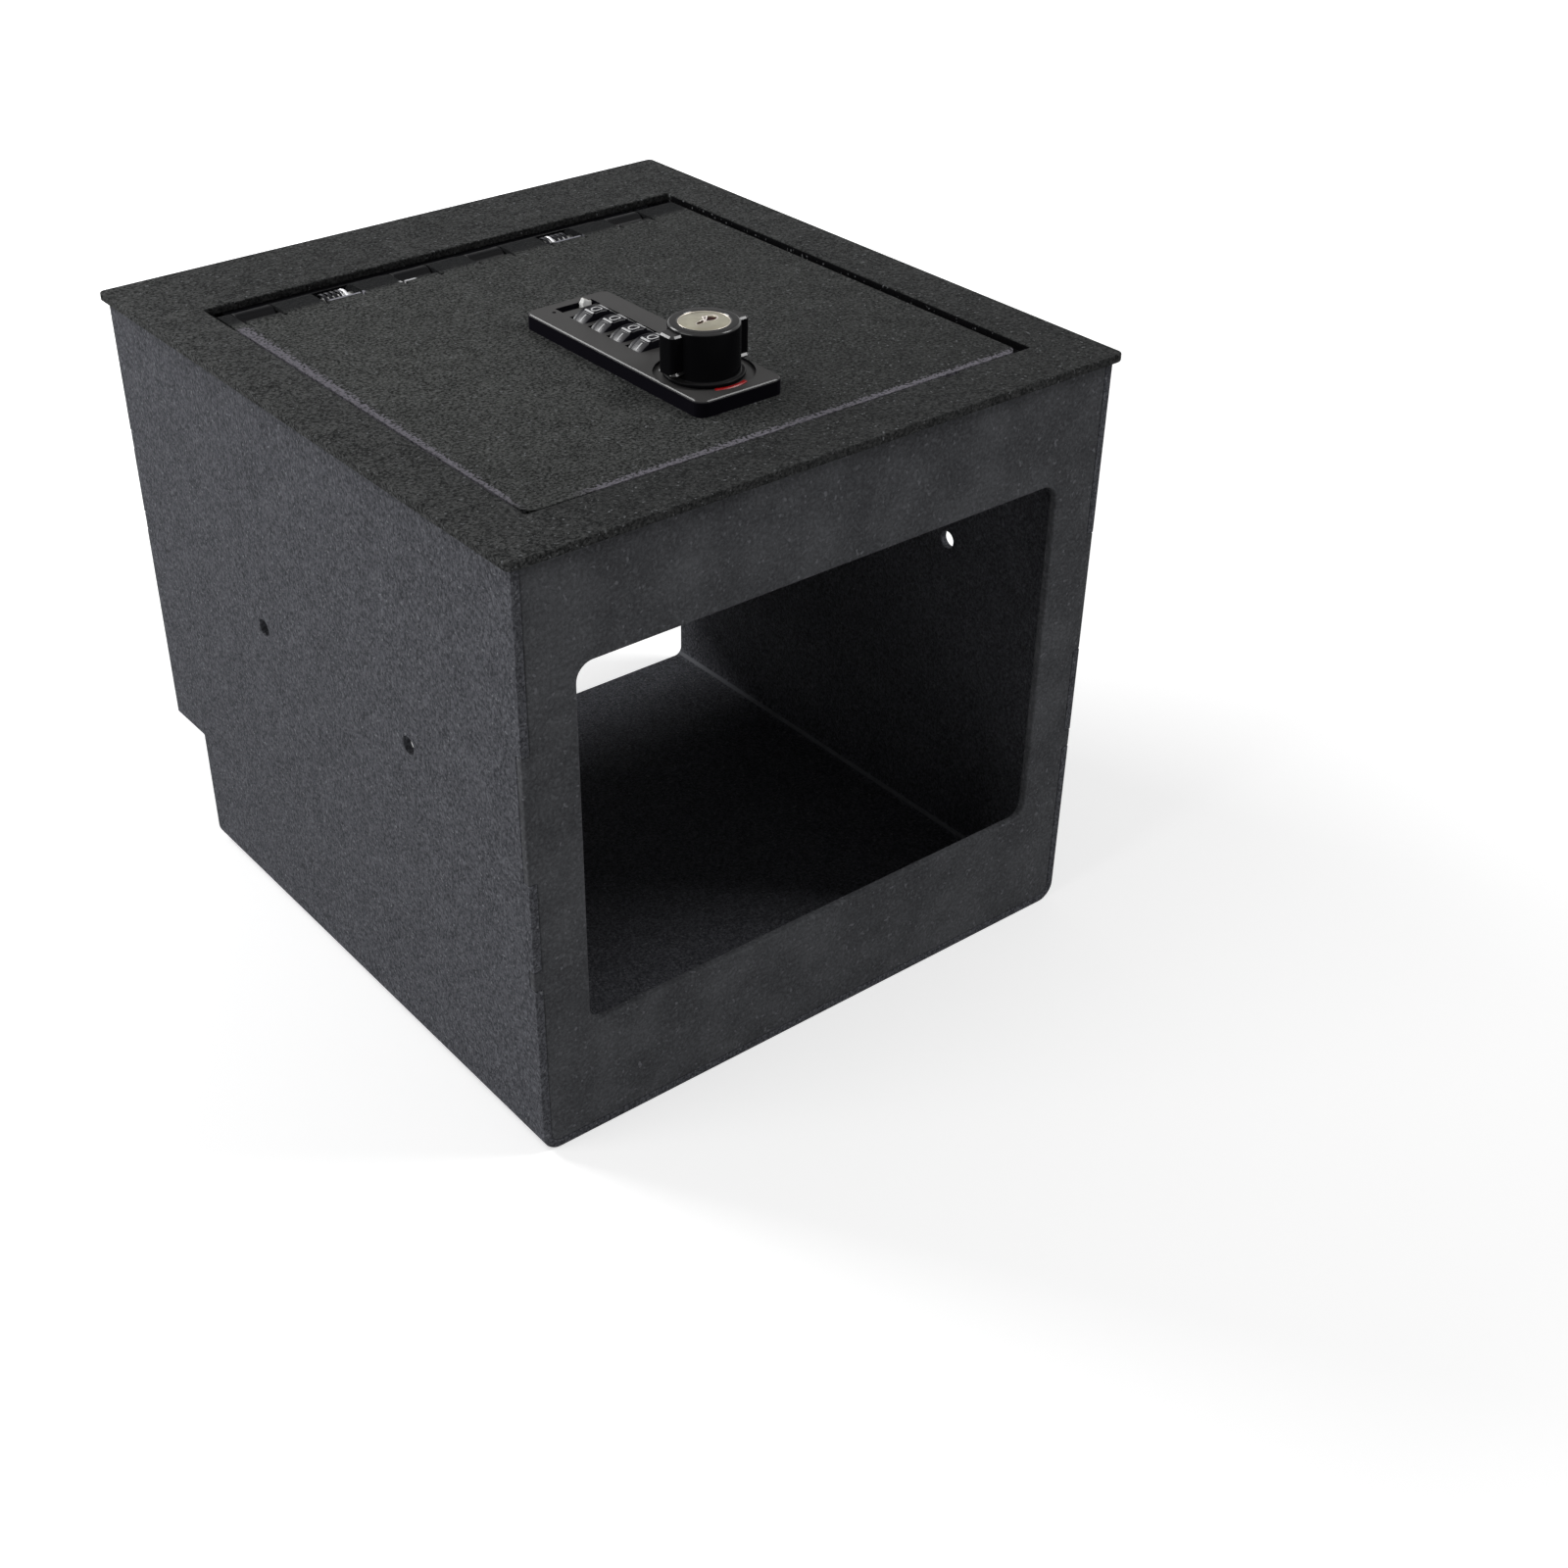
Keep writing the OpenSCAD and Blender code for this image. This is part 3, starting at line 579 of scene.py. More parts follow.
class Finish(Enum):
    """Every finish of the safe."""

    # WALL: painted highlight on the inner bends
    WALL = PowderCoat("wall_powder_coat", (0.038, 0.039, 0.0445), (0.137, 0.140, 0.156),
                      stretch=(1.0, 1.0, 0.8), pit_share=0.45, blotch_share=0.12, speck=(0.19, 0.195, 0.21),
                      bend_highlight=(0.17, 0.175, 0.19))
    FRONT = PowderCoat("front_powder_coat", (0.050, 0.051, 0.055), (0.126, 0.129, 0.138), curls=500.0,
                       pit_width=0.4, blotches=60.0, blotch_share=0.34, grain=1000.0,
                       speck=(0.150, 0.153, 0.166), specks=620.0, speck_from=0.67, depth=0.00012)
    # TOP: painted shade in the fade and on the dark cut faces of the opening
    TOP = PowderCoat("top_powder_coat", (0.003, 0.0035, 0.0035), (0.108, 0.110, 0.109),
                     hollow=(0.084, -0.091, 0.0725),
                     fade=PaintedShade((0.021, 0.0215, 0.022), (0.30, -0.095, -0.060), (0.20, -0.090, 0.050)))
    # LID: painted shade in the fade and on the rolled knuckles; painted highlights along the left and front
    # edges and on the notches' front edges
    LID = PowderCoat("lid_powder_coat", (0.003, 0.0035, 0.0032), (0.116, 0.119, 0.116),
                     highlight_edges=(-0.0815, -0.0885), knuckles=0.0625,
                     fade=PaintedShade((0.019, 0.0195, 0.020), (0.34, -0.060, 0.080), (0.20, -0.090, -0.020)),
                     notch_glints=((-0.0505, -0.0375, 0.0611, (0.30, 0.295, 0.33)),
                            (-0.0268, -0.0203, 0.0611, (0.62, 0.62, 0.64)),
                            (0.0280, 0.0400, 0.0611, (0.26, 0.26, 0.29))))
    HINGE = SmoothCoat("hinge_black", (0.005, 0.005, 0.006), 0.34, 0.12, 0.02, 150.0, 1800.0, 0.00003)
    # LOCK: face painted lighter than the sides, painted light and shade
    LOCK = SmoothCoat("lock_satin_black", (0.062, 0.0605, 0.060), 0.34, 0.5, 0.03, 90.0, 2600.0, 0.000014,
                      upright=(0.0055, 0.005, 0.0075), gloss_above=0.18662)
    # KNOB: top painted lighter than the sides, painted light and shade
    KNOB = SmoothCoat("knob_gloss_black", (0.024, 0.0235, 0.024), 0.2, 0.7, 0.03, 90.0, 900.0, 0.000002,
                      upright=(0.005, 0.005, 0.0058), gloss_roughness=0.12, gloss_above=0.1885)
    DIAL = SmoothCoat("dial_smooth_black", (0.011, 0.0105, 0.0145), 0.3, 0.8, 0.02, 300.0, 2400.0, 0.000004,
                      gloss_roughness=0.35)
    PAINT = SmoothCoat("digit_white", (0.62, 0.62, 0.63), 0.4, 0.0, 0.1, 400.0, 2500.0, 0.000008, 0.85)
    # WHITE: top painted darker than the sides, painted light and shade of one white plastic
    WHITE = SmoothCoat("slide_white", (0.50, 0.48, 0.42), 0.35, 0.0, 0.1, 200.0, 1500.0, 0.000006, 0.9,
                       upright=(0.86, 0.86, 0.85))
    RED = SmoothCoat("marker_red", (0.42, 0.008, 0.010), 0.25, 0.0, 0.3, 200.0, 1500.0, 0.000006)
    NICKEL = BareMetal("key_nickel", (0.36, 0.34, 0.26), (0.26, 0.24, 0.18), 0.36, (1.0, 0.12, 1.0))
    RIM = BareMetal("key_rim_nickel", (0.52, 0.48, 0.43), (0.36, 0.33, 0.29), 0.36)
    SHUTTER = BareMetal("key_shutter_steel", (0.80, 0.74, 0.70), (0.56, 0.50, 0.46), 0.3)
    TUMBLER = SmoothCoat("key_tumbler_red", (0.030, 0.006, 0.005), 0.4, 0.0, 0.02)
    ZINC = BareMetal("zinc_plate", (0.74, 0.74, 0.73), (0.50, 0.50, 0.49), 0.32)
    WIRE = BareMetal("spring_wire", (0.86, 0.86, 0.87), (0.62, 0.62, 0.63), 0.3)
    # painted shade on the coils, except bands where the wire keeps its lit colour
    COIL = BareMetal("shaded_spring_wire", (0.80, 0.80, 0.82), (0.55, 0.55, 0.57), 0.35,
                     bright_at=((-0.0412, 0.0017), (0.0313, 0.0003)))

    def material(self) -> bpy.types.Material:
        """The finish's material, made once."""
        return bpy.data.materials.get(self.value.name) or self.value.build()


def quads(rows: int, columns: int, wrap_rows: bool, wrap_columns: bool) -> np.ndarray:
    """Faces of a grid of points.

    Args:
        rows: number of rows of points.
        columns: number of points in a row.
        wrap_rows: whether the last row joins the first.
        wrap_columns: whether the last point of a row joins its first.

    Returns:
        Four corners for each face.
    """
    row = np.arange(rows if wrap_rows else rows - 1)[:, None]
    column = np.arange(columns if wrap_columns else columns - 1)[None, :]
    next_row, next_column = (row + 1) % rows, (column + 1) % columns
    corners = [row * columns + column, row * columns + next_column,
               next_row * columns + next_column, next_row * columns + column]
    return np.stack(np.broadcast_arrays(*corners), axis=-1).reshape(-1, 4)


def mesh_piece(name: str, points: np.ndarray, faces: list, sharp_deg: float = 35.0) -> bpy.types.Object:
    """Makes an object at the origin from points in the frame's coordinates.

    Args:
        name: the piece's name.
        points: one row of three coordinates for each vertex.
        faces: the vertices of each face.
        sharp_deg: edges with a larger angle stay sharp in the shading.

    Returns:
        The object, with its normals outwards.
    """
    mesh = bpy.data.meshes.new(name)
    mesh.from_pydata(points.reshape(-1, 3).tolist(), [], faces)
    return placed(name, mesh, sharp_deg)


def placed(name: str, mesh: bpy.types.Mesh, sharp_deg: float) -> bpy.types.Object:
    """Links a mesh into the scene with clean normals.

    Args:
        name: the piece's name.
        mesh: its mesh, in the frame's coordinates.
        sharp_deg: edges with a larger angle stay sharp in the shading.

    Returns:
        The object.
    """
    work = bmesh.new()
    work.from_mesh(mesh)
    bmesh.ops.remove_doubles(work, verts=work.verts, dist=0.001 * MM)
    bmesh.ops.recalc_face_normals(work, faces=work.faces)
    work.to_mesh(mesh)
    work.free()
    mesh.polygons.foreach_set("use_smooth", np.ones(len(mesh.polygons), bool))
    mesh.set_sharp_from_angle(angle=math.radians(sharp_deg))
    piece = bpy.data.objects.new(name, mesh)
    bpy.context.scene.collection.objects.link(piece)
    return piece


def stacked_rings(name: str, rings: np.ndarray, sharp_deg: float = 35.0) -> bpy.types.Object:
    """A closed piece from rings of points, one above the other, with a flat cap at each end.

    Args:
        name: the piece's name.
        rings: one row of points for each ring.
        sharp_deg: edges with a larger angle stay sharp in the shading.

    Returns:
        The object.
    """
    rows, columns = rings.shape[:2]
    faces = quads(rows, columns, False, True).tolist()
    faces.append(list(range(columns)))
    faces.append(list(range((rows - 1) * columns, rows * columns)))
    return mesh_piece(name, rings, faces, sharp_deg)


def round_points(radius: np.ndarray, height: np.ndarray, centre: Vector, lying: bool = False) -> np.ndarray:
    """Rings of points round an axis.

    Upright, a point is (x + r cos a, y + r sin a, z + h). Lying along Y, it is
    (x - r sin a, y + h, z + r cos a), so angles go from the top towards -X.

    Args:
        radius: radius of each point, one row for each ring and one column for each angle.
        height: height of each ring along the axis.
        centre: the point that heights are measured from.
        lying: whether the axis is Y instead of Z.

    Returns:
        The points, one row for each ring.
    """
    angle = np.linspace(0.0, 2.0 * np.pi, radius.shape[1], endpoint=False)[None, :]
    along = np.broadcast_to(height[:, None], radius.shape)
    if lying:
        parts = [centre.x - radius * np.sin(angle), centre.y + along, centre.z + radius * np.cos(angle)]
    else:
        parts = [centre.x + radius * np.cos(angle), centre.y + radius * np.sin(angle), centre.z + along]
    return np.stack(parts, axis=-1)


def ringed(
    name: str, rows: list, steps: int, centre: Vector, loop: bool, sharp_deg: float, lying: bool = False
) -> bpy.types.Object:
    """A piece of rings round an axis.

    Args:
        name: the piece's name.
        rows: (radius, height) of each ring, where a radius is one number or one for each step.
        steps: number of steps round the axis.
        centre: the point on the axis that heights are measured from.
        loop: whether the last ring joins the first.
        sharp_deg: edges with a larger angle stay sharp in the shading.
        lying: whether the axis is Y instead of Z.

    Returns:
        The object.
    """
    radius = np.stack([np.broadcast_to(radii, (steps,)) for radii, _ in rows])
    height = np.array([along for _, along in rows])
    points = round_points(radius, height, centre, lying)
    return mesh_piece(name, points, quads(len(rows), steps, loop, True).tolist(), sharp_deg)


def turned(
    name: str, profile: np.ndarray, centre: Vector, steps: int = 96, sharp_deg: float = 35.0
) -> bpy.types.Object:
    """A piece turned round a vertical axis.

    Args:
        name: the piece's name.
        profile: rows of (radius, height); it starts and ends on the axis, or else it is a closed loop.
        centre: a point on the axis; heights are measured from it.
        steps: number of steps round the axis.
        sharp_deg: edges with a larger angle stay sharp in the shading.

    Returns:
        The object.
    """
    return ringed(name, list(profile), steps, centre, bool(profile[0, 0] > 0.0), sharp_deg)


def arc(centre: tuple[float, float], radius: float, start: float, end: float, steps: int) -> np.ndarray:
    """Points of an arc in a plane, from one angle to another in degrees."""
    angle = np.radians(np.linspace(start, end, steps + 1))
    return np.stack([centre[0] + radius * np.cos(angle), centre[1] + radius * np.sin(angle)], axis=-1)


def line(start: tuple[float, float], end: tuple[float, float], steps: int = 12) -> np.ndarray:
    """Points of a straight line in a plane."""
    share = np.linspace(0.0, 1.0, steps + 1)[:, None]
    return np.array(start)[None, :] * (1.0 - share) + np.array(end)[None, :] * share


def smooth_step(value: np.ndarray, low: float, high: float) -> np.ndarray:
    """0 below low, 1 above high, and the cubic 3 t^2 - 2 t^3 between them."""
    share = np.clip((value - low) / (high - low), 0.0, 1.0)
    return share * share * (3.0 - 2.0 * share)


def middle(node: str) -> Vector:
    """The middle of a CAD node's box."""
    low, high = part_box(node)
    return (low + high) / 2.0


def foot(node: str) -> Vector:
    """The middle of the underside of a CAD node's box."""
    return Vector((*middle(node).xy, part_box(node)[0].z))


def softened(
    node: str, name: str, radius: float, segments: int = 2, sharp_deg: float = 40.0
) -> bpy.types.Object:
    """A copy of a CAD node with its edges rounded.

    The copy's doubles are merged and its flat triangles joined before a bevel rounds what is sharper
    than the angle given.

    Args:
        node: the CAD node, which the copy replaces.
        name: the piece's name.
        radius: radius of the rounding.
        segments: number of facets across it.
        sharp_deg: edges with a larger angle are rounded.

    Returns:
        The object.
    """
    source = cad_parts[node].data
    points = np.zeros(len(source.vertices) * 3)
    source.vertices.foreach_get("co", points)
    mesh = bpy.data.meshes.new(name)
    mesh.from_pydata(points.reshape(-1, 3).tolist(), [], [list(face.vertices) for face in source.polygons])
    work = bmesh.new()
    work.from_mesh(mesh)
    bmesh.ops.remove_doubles(work, verts=work.verts, dist=0.002 * MM)
    bmesh.ops.dissolve_limit(work, angle_limit=math.radians(0.5), verts=work.verts, edges=work.edges)
    work.to_mesh(mesh)
    work.free()
    piece = placed(name, mesh, sharp_deg)
    bevel = piece.modifiers.new("rounded_edges", "BEVEL")
    bevel.width, bevel.segments, bevel.limit_method = radius, segments, "ANGLE"
    bevel.angle_limit = math.radians(sharp_deg)
    bevel.use_clamp_overlap, bevel.miter_outer = True, "MITER_ARC"
    weighted = piece.modifiers.new("even_shading", "WEIGHTED_NORMAL")
    weighted.keep_sharp, weighted.weight = False, 100
    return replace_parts(piece, node)


def dress(piece: bpy.types.Object, body: str, finish: Finish) -> bpy.types.Object:
    """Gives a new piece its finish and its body.

    Args:
        piece: the object.
        body: the body it rides on.
        finish: its finish.

    Returns:
        The object.
    """
    piece.data.materials.clear()
    piece.data.materials.append(finish.material())
    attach(piece, body)
    log.info("%s rides on %s in %s", piece.name, body, finish.name)
    return piece


@dataclass
class SheetCase:
    """The folded case, its panels and its top plate, with rounded edges."""

    edge: float = 0.5 * MM
    plate_edge: float = 0.7 * MM

    def build(self) -> None:
        """Replaces each sheet of the case by a copy with soft edges."""
        for node, finish in (("case_wrap", Finish.WALL), ("front_panel", Finish.FRONT),
                             ("rear_panel", Finish.WALL), ("lid_ledge", Finish.WALL)):
            dress(softened(node, f"{node}_sheet", self.edge), Body.CASE.value, finish)
        top = softened("top_plate", "top_plate_sheet", self.plate_edge, 3)
        dress(top, Body.CASE.value, Finish.TOP)
        keeper = softened("keeper_bracket", "keeper_sheet", self.edge)
        dress(keeper, Body.CASE.value, Finish.ZINC)


@dataclass
class SprungHinge:
    """The lid's hinge: leaf, pin and two torsion springs."""

    leaf_edge: float = 0.35 * MM
    wire: float = 0.5 * MM
    pitch: float = 1.7 * MM
    turns: int = 5
    coil: float = 3.4 * MM
    reach: float = 16.0 * MM
    seat: float = 0.3 * MM
    sheet: float = 2.5 * MM
    steps: int = 28
    sides: int = 14

    def build(self) -> None:
        """Makes the springs and dresses the leaf and the pin."""
        leaf = softened("hinge_leaf", "hinge_leaf_sheet", self.leaf_edge, 2)
        dress(leaf, Body.CASE.value, Finish.HINGE)
        pin = softened("hinge_pin", "hinge_pin_rod", self.leaf_edge, 2)
        dress(pin, Body.CASE.value, Finish.ZINC)
        pin_low, pin_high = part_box("hinge_pin")
        low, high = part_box("hinge_springs")
        axis = (pin_low + pin_high) / 2.0
        length = self.coil_length(axis)
        first = low.x + self.wire + length / 2.0
        last = high.x - self.wire - length / 2.0
        log.info("springs at %.1f and %.1f mm", first / MM, last / MM)
        for number, middle in enumerate((first, last), 1):
            spring = self.spring(f"torsion_spring_{number}", Vector((middle, axis.y, axis.z)))
            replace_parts(spring, "hinge_springs")
            spring.data.materials.append(Finish.COIL.material())
            middle + length / 2.0
            middle - length / 2.0
            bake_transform(spring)
            log.info("%s bends from case to lid", spring.name)

    def legs(self, axis: Vector) -> tuple[tuple[float, float], tuple[float, float]]:
        """Ends of the legs under the lid and under the leaf, measured from the axis.

        Args:
            axis: a point on the pin's axis.

        Returns:
            The two ends, each as (along Y, up).
        """
        lid_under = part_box("barrel_washer")[1].z
        leaf_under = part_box("hinge_leaf")[1].z - self.sheet
        drop = self.seat + self.wire
        return (-self.reach, lid_under - drop - axis.z), (self.reach, leaf_under - drop - axis.z)

    def leg_angle(self, leg: tuple[float, float]) -> float:
        """Angle at which a leg leaves the coil on a tangent, in radians."""
        return math.asin(self.coil / math.hypot(*leg)) + math.atan2(leg[1], abs(leg[0]))

    def sweep(self, axis: Vector) -> tuple[float, float]:
        """First and last angle of the coil, in radians."""
        lid_leg, leaf_leg = self.legs(axis)
        return -self.leg_angle(lid_leg), 2.0 * math.pi * self.turns + self.leg_angle(leaf_leg)

    def coil_length(self, axis: Vector) -> float:
        """Length of the coil along the pin."""
        start, end = self.sweep(axis)
        return self.pitch * (end - start) / (2.0 * math.pi)

    def spring(self, name: str, middle: Vector) -> bpy.types.Object:
        """A torsion spring: a helix round the pin with a straight leg at each end.

        The helix is (pitch a / 2 pi, coil sin a, -coil cos a) for an angle a.

        Args:
            name: the piece's name.
            middle: the middle of the coil, on the pin's axis.

        Returns:
            The spring.
        """
        lid_leg, leaf_leg = self.legs(middle)
        start, end = self.sweep(middle)
        angle = np.linspace(start, end, int(self.steps * (end - start) / (2.0 * math.pi)) + 1)
        along = -self.coil_length(middle) / 2.0 + self.pitch * (angle - start) / (2.0 * np.pi)
        coil = np.stack([along, self.coil * np.sin(angle), -self.coil * np.cos(angle)], axis=-1)
        lid_end = np.array([[along[0], *lid_leg]])
        leaf_end = np.array([[along[-1], *leaf_leg]])
        path = np.concatenate([lid_end, coil, leaf_end]) + np.array(middle)
        return swept_wire(name, path, self.wire, self.sides)


def swept_wire(name: str, path: np.ndarray, radius: float, sides: int) -> bpy.types.Object:
    """A round wire along a path.

    Each ring lies across the mean of the two directions that meet at its point. Its first arm is the
    part of a fixed reference that is square to that direction.

    Args:
        name: the piece's name.
        path: the wire's middle line.
        radius: radius of the wire.
        sides: number of sides.

    Returns:
        The object.
    """
    step = np.diff(path, axis=0)
    step /= np.linalg.norm(step, axis=1, keepdims=True)
    ahead = np.concatenate([step, step[-1:]])
    behind = np.concatenate([step[:1], step])
    along = ahead + behind
    along /= np.linalg.norm(along, axis=1, keepdims=True)
    reference = np.array([1.0, 0.0, 0.0])
    first = reference - along * (along @ reference)[:, None]
    first /= np.linalg.norm(first, axis=1, keepdims=True)
    second = np.cross(along, first)
    angle = np.linspace(0.0, 2.0 * np.pi, sides, endpoint=False)
    cosine, sine = np.cos(angle)[None, :, None], np.sin(angle)[None, :, None]
    rings = path[:, None, :] + radius * (cosine * first[:, None, :] + sine * second[:, None, :])
    return stacked_rings(name, rings, 50.0)


@dataclass
class LidSheet:
    """The lid with its rolled knuckles."""

    edge: float = 0.7 * MM

    def build(self) -> None:
        """Replaces the lid by a copy with soft edges."""
        lid = softened("lid_plate", "lid_sheet", self.edge, 4)
        dress(lid, Body.LID.value, Finish.LID)


def cross_screw(
    name: str, head_top: Vector, head_r: float, head_h: float, shaft_r: float, length: float
) -> bpy.types.Object:
    """A screw that points up, with a domed head below and a cross recess in it.

    The recess is the union of two slots, so its radius is the larger of the two slots' radii, and a
    slot's radius is the smaller of half its length over |cos a| and half its width over |sin a|.

    Args:
        name: the piece's name.
        head_top: middle of the head's upper side, where the shaft starts.
        head_r: radius of the head.
        head_h: height of the head.
        shaft_r: radius of the shaft.
        length: length of the shaft.

    Returns:
        The object.
    """
    steps, tiny = 96, 1e-6
    angle = np.linspace(0.0, 2.0 * np.pi, steps, endpoint=False)
    cosine, sine = np.abs(np.cos(angle)) + tiny, np.abs(np.sin(angle)) + tiny
    reach, half = 0.58 * head_r, 0.15 * head_r
    cross = np.maximum(np.minimum(reach / cosine, half / sine), np.minimum(reach / sine, half / cosine))
    rows = [(0.0, length), (0.6 * shaft_r, length), (shaft_r, length - 0.4 * shaft_r),
            (shaft_r, 0.0), (0.96 * head_r, 0.0), (head_r, -0.12 * head_h),
            (head_r, -0.45 * head_h), (0.93 * head_r, -0.75 * head_h),
            (0.78 * head_r, -0.93 * head_h), (0.62 * head_r, -head_h),
            (cross, -head_h), (0.85 * cross, -0.45 * head_h), (0.0, -0.40 * head_h)]
    return ringed(name, rows, steps, head_top, False, 30.0)


@dataclass
class LockBody:
    """The lock's housing and what is fixed to it: cover, screws, nut, washer, shaft and red arc."""

    edge: float = 0.25 * MM
    cover_head: tuple[float, float] = (1.4 * MM, 1.0 * MM)
    cover_shaft: float = 0.8 * MM
    fixing_head: tuple[float, float] = (2.5 * MM, 2.0 * MM)
    fixing_shaft: float = 1.5 * MM
    barrel: float = 9.5 * MM
    thread_pitch: float = 1.0 * MM
    thread_height: float = 0.35 * MM
    thread_depth: float = 0.4 * MM
    thread_end: float = 0.2 * MM
    clicker_edge: float = 0.1 * MM
    nut_flats: float = 24.0 * MM
    nut_play: float = 0.05 * MM
    nut_edge: float = 0.4 * MM
    washer_play: float = 0.2 * MM
    washer_edge: float = 0.2 * MM
    marker_edge: float = 0.2 * MM
    marker_sweep: tuple[float, float] = (-114.0, -67.0)
    marker_ring: tuple[float, float] = (11.6 * MM, 12.8 * MM)

    def build(self) -> None:
        """Makes every piece that is fixed to the housing."""
        housing = softened("lock_housing", "lock_body", self.edge, 2, 30.0)
        dress(housing, Body.LID.value, Finish.LOCK)
        cover = softened("lock_back_cover", "lock_cover", self.edge)
        dress(cover, Body.LID.value, Finish.LOCK)
        shaft = softened("dial_shaft", "dial_rod", self.edge)
        dress(shaft, Body.LID.value, Finish.ZINC)
        clicker = softened("detent_spring", "click_spring", self.clicker_edge)
        dress(clicker, Body.LID.value, Finish.WIRE)
        self.screws()
        self.nut()
        self.washer()
        self.thread()
        self.marker()

    def screws(self) -> None:
        """The cover's four screws and the two that hold the housing's rear end."""
        for node, (head_r, head_h), shaft_r in (("cover_screws", self.cover_head, self.cover_shaft),
                                                ("fixing_screws", self.fixing_head, self.fixing_shaft)):
            low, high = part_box(node)
            across = (low.x + head_r, high.x - head_r)
            single = high.y - low.y < 3.0 * head_r
            along = (middle(node).y,) if single else (low.y + head_r, high.y - head_r)
            places = [(x, y) for y in along for x in across]
            for number, (x, y) in enumerate(places, 1):
                head_top = Vector((x, y, low.z + head_h))
                length = high.z - head_top.z
                screw = cross_screw(f"{node}_{number}", head_top, head_r, head_h, shaft_r, length)
                dress(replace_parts(screw, node), Body.LID.value, Finish.ZINC)

    def nut(self) -> None:
        """The barrel's hexagon nut.

        Its radius is half the flats over the cosine of the angle from the nearest flat's middle, cut
        down to a circle at both ends.
        """
        low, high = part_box("barrel_nut")
        tall, half, edge, steps = high.z - low.z, self.nut_flats / 2.0, self.nut_edge, 144
        angle = np.linspace(0.0, 2.0 * np.pi, steps, endpoint=False)
        hexagon = half / np.cos(angle % (np.pi / 3.0) - np.pi / 6.0)
        bore = self.barrel + self.nut_play
        cuts = [(0.0, half - 0.4 * MM), (0.35 * MM, half + 0.3 * MM),
                (0.9 * MM, half / math.cos(math.pi / 6.0))]
        rows = [(bore, edge), (bore + edge, 0.0)]
        rows += [(np.minimum(hexagon, limit), height) for height, limit in cuts]
        rows += [(np.minimum(hexagon, limit), tall - height) for height, limit in reversed(cuts)]
        rows += [(bore + edge, tall), (bore, tall - edge)]
        nut = ringed("hexagon_nut", rows, steps, foot("barrel_nut"), True, 25.0)
        dress(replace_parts(nut, "barrel_nut"), Body.LID.value, Finish.ZINC)

    def washer(self) -> None:
        """The washer between the lid and the nut."""
        low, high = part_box("barrel_washer")
        outer, tall, edge = (high.x - low.x) / 2.0, high.z - low.z, self.washer_edge
        inner = self.barrel + self.washer_play
        profile = np.array([(inner, edge), (inner + edge, 0.0), (outer - edge, 0.0), (outer, edge),
                            (outer, tall - edge), (outer - edge, tall), (inner + edge, tall),
                            (inner, tall - edge)])
        washer = turned("flat_washer", profile, foot("barrel_washer"), 96, 25.0)
        dress(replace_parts(washer, "barrel_washer"), Body.LID.value, Finish.ZINC)

    def thread(self) -> None:
        """The barrel's thread below the nut.

        The radius is the barrel's plus a triangle wave of z / pitch - a / 2 pi, fading at both ends.
        """
        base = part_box("lock_housing")[0].z
        centre = middle("barrel_nut")
        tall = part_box("barrel_nut")[0].z - base - 2.0 * self.thread_end
        rise = np.linspace(0.0, 1.0, int(10 * tall / self.thread_pitch) + 1)
        height = self.thread_end + rise * (tall - self.thread_end)
        angle = np.linspace(0.0, 1.0, 96, endpoint=False)
        turns = height[:, None] / self.thread_pitch - angle[None, :]
        wave = 1.0 - 2.0 * np.abs(turns % 1.0 - 0.5)
        fade = smooth_step(rise, 0.0, 0.1) * (1.0 - smooth_step(rise, 0.9, 1.0))
        outer = self.barrel - 0.02 * MM + self.thread_height * wave * fade[:, None]
        inner = self.barrel - self.thread_depth
        rows = [(inner, height[0]), *zip(outer, height), (inner, height[-1])]
        place = Vector((centre.x, centre.y, base))
        thread = ringed("barrel_thread", rows, len(angle), place, True, 60.0)
        dress(thread, Body.LID.value, Finish.ZINC)

    def marker(self) -> None:
        """The red arc in the recess: a rounded bar swept round the knob's axis."""
        knob = middle("spindle")
        low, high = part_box("red_marker")
        inner, outer = self.marker_ring
        top, edge = high.z - low.z, self.marker_edge
        section = np.array([(inner, 0.0), (outer, 0.0), (outer, top - edge), (outer - edge, top),
                            (inner + edge, top), (inner, top - edge)])
        angle = np.radians(np.linspace(*self.marker_sweep, 40))[:, None]
        points = np.stack([knob.x + section[:, 0] * np.cos(angle), knob.y + section[:, 0] * np.sin(angle),
                           low.z + section[:, 1] + 0.0 * angle], axis=-1)
        marker = stacked_rings("red_arc", points, 30.0)
        dress(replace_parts(marker, "red_marker"), Body.LID.value, Finish.RED)


def slab(name: str, low: Vector, high: Vector, corner: float, edge: float) -> bpy.types.Object:
    """An upright block with round corners and flat bevels along its upper and lower edges.

    Each ring is a rectangle shrunk by the corner radius, plus that radius times (cos a, sin a). The
    first and the last ring are drawn in by the bevel.

    Args:
        name: the piece's name.
        low: its lowest corner.
        high: its highest corner.
        corner: radius of its upright corners.
        edge: size of its bevels.

    Returns:
        The object.
    """
    around = 7
    angle = np.radians(np.concatenate([np.linspace(90.0 * k, 90.0 * (k + 1), around) for k in range(4)]))
    side = np.repeat(np.array([(1, 1), (-1, 1), (-1, -1), (1, -1)]), around, axis=0)
    drawn = np.array([edge, 0.0, 0.0, edge])
    height = np.array([low.z, low.z + edge, high.z - edge, high.z])
    half_x, half_y = (high.x - low.x) / 2.0 - corner, (high.y - low.y) / 2.0 - corner
    radius = corner - drawn[:, None]
    points = np.stack([(low.x + high.x) / 2.0 + side[:, 0] * half_x + radius * np.cos(angle),
                       (low.y + high.y) / 2.0 + side[:, 1] * half_y + radius * np.sin(angle),
                       np.broadcast_to(height[:, None], (len(height), len(angle)))], axis=-1)
    return stacked_rings(name, points, 35.0)


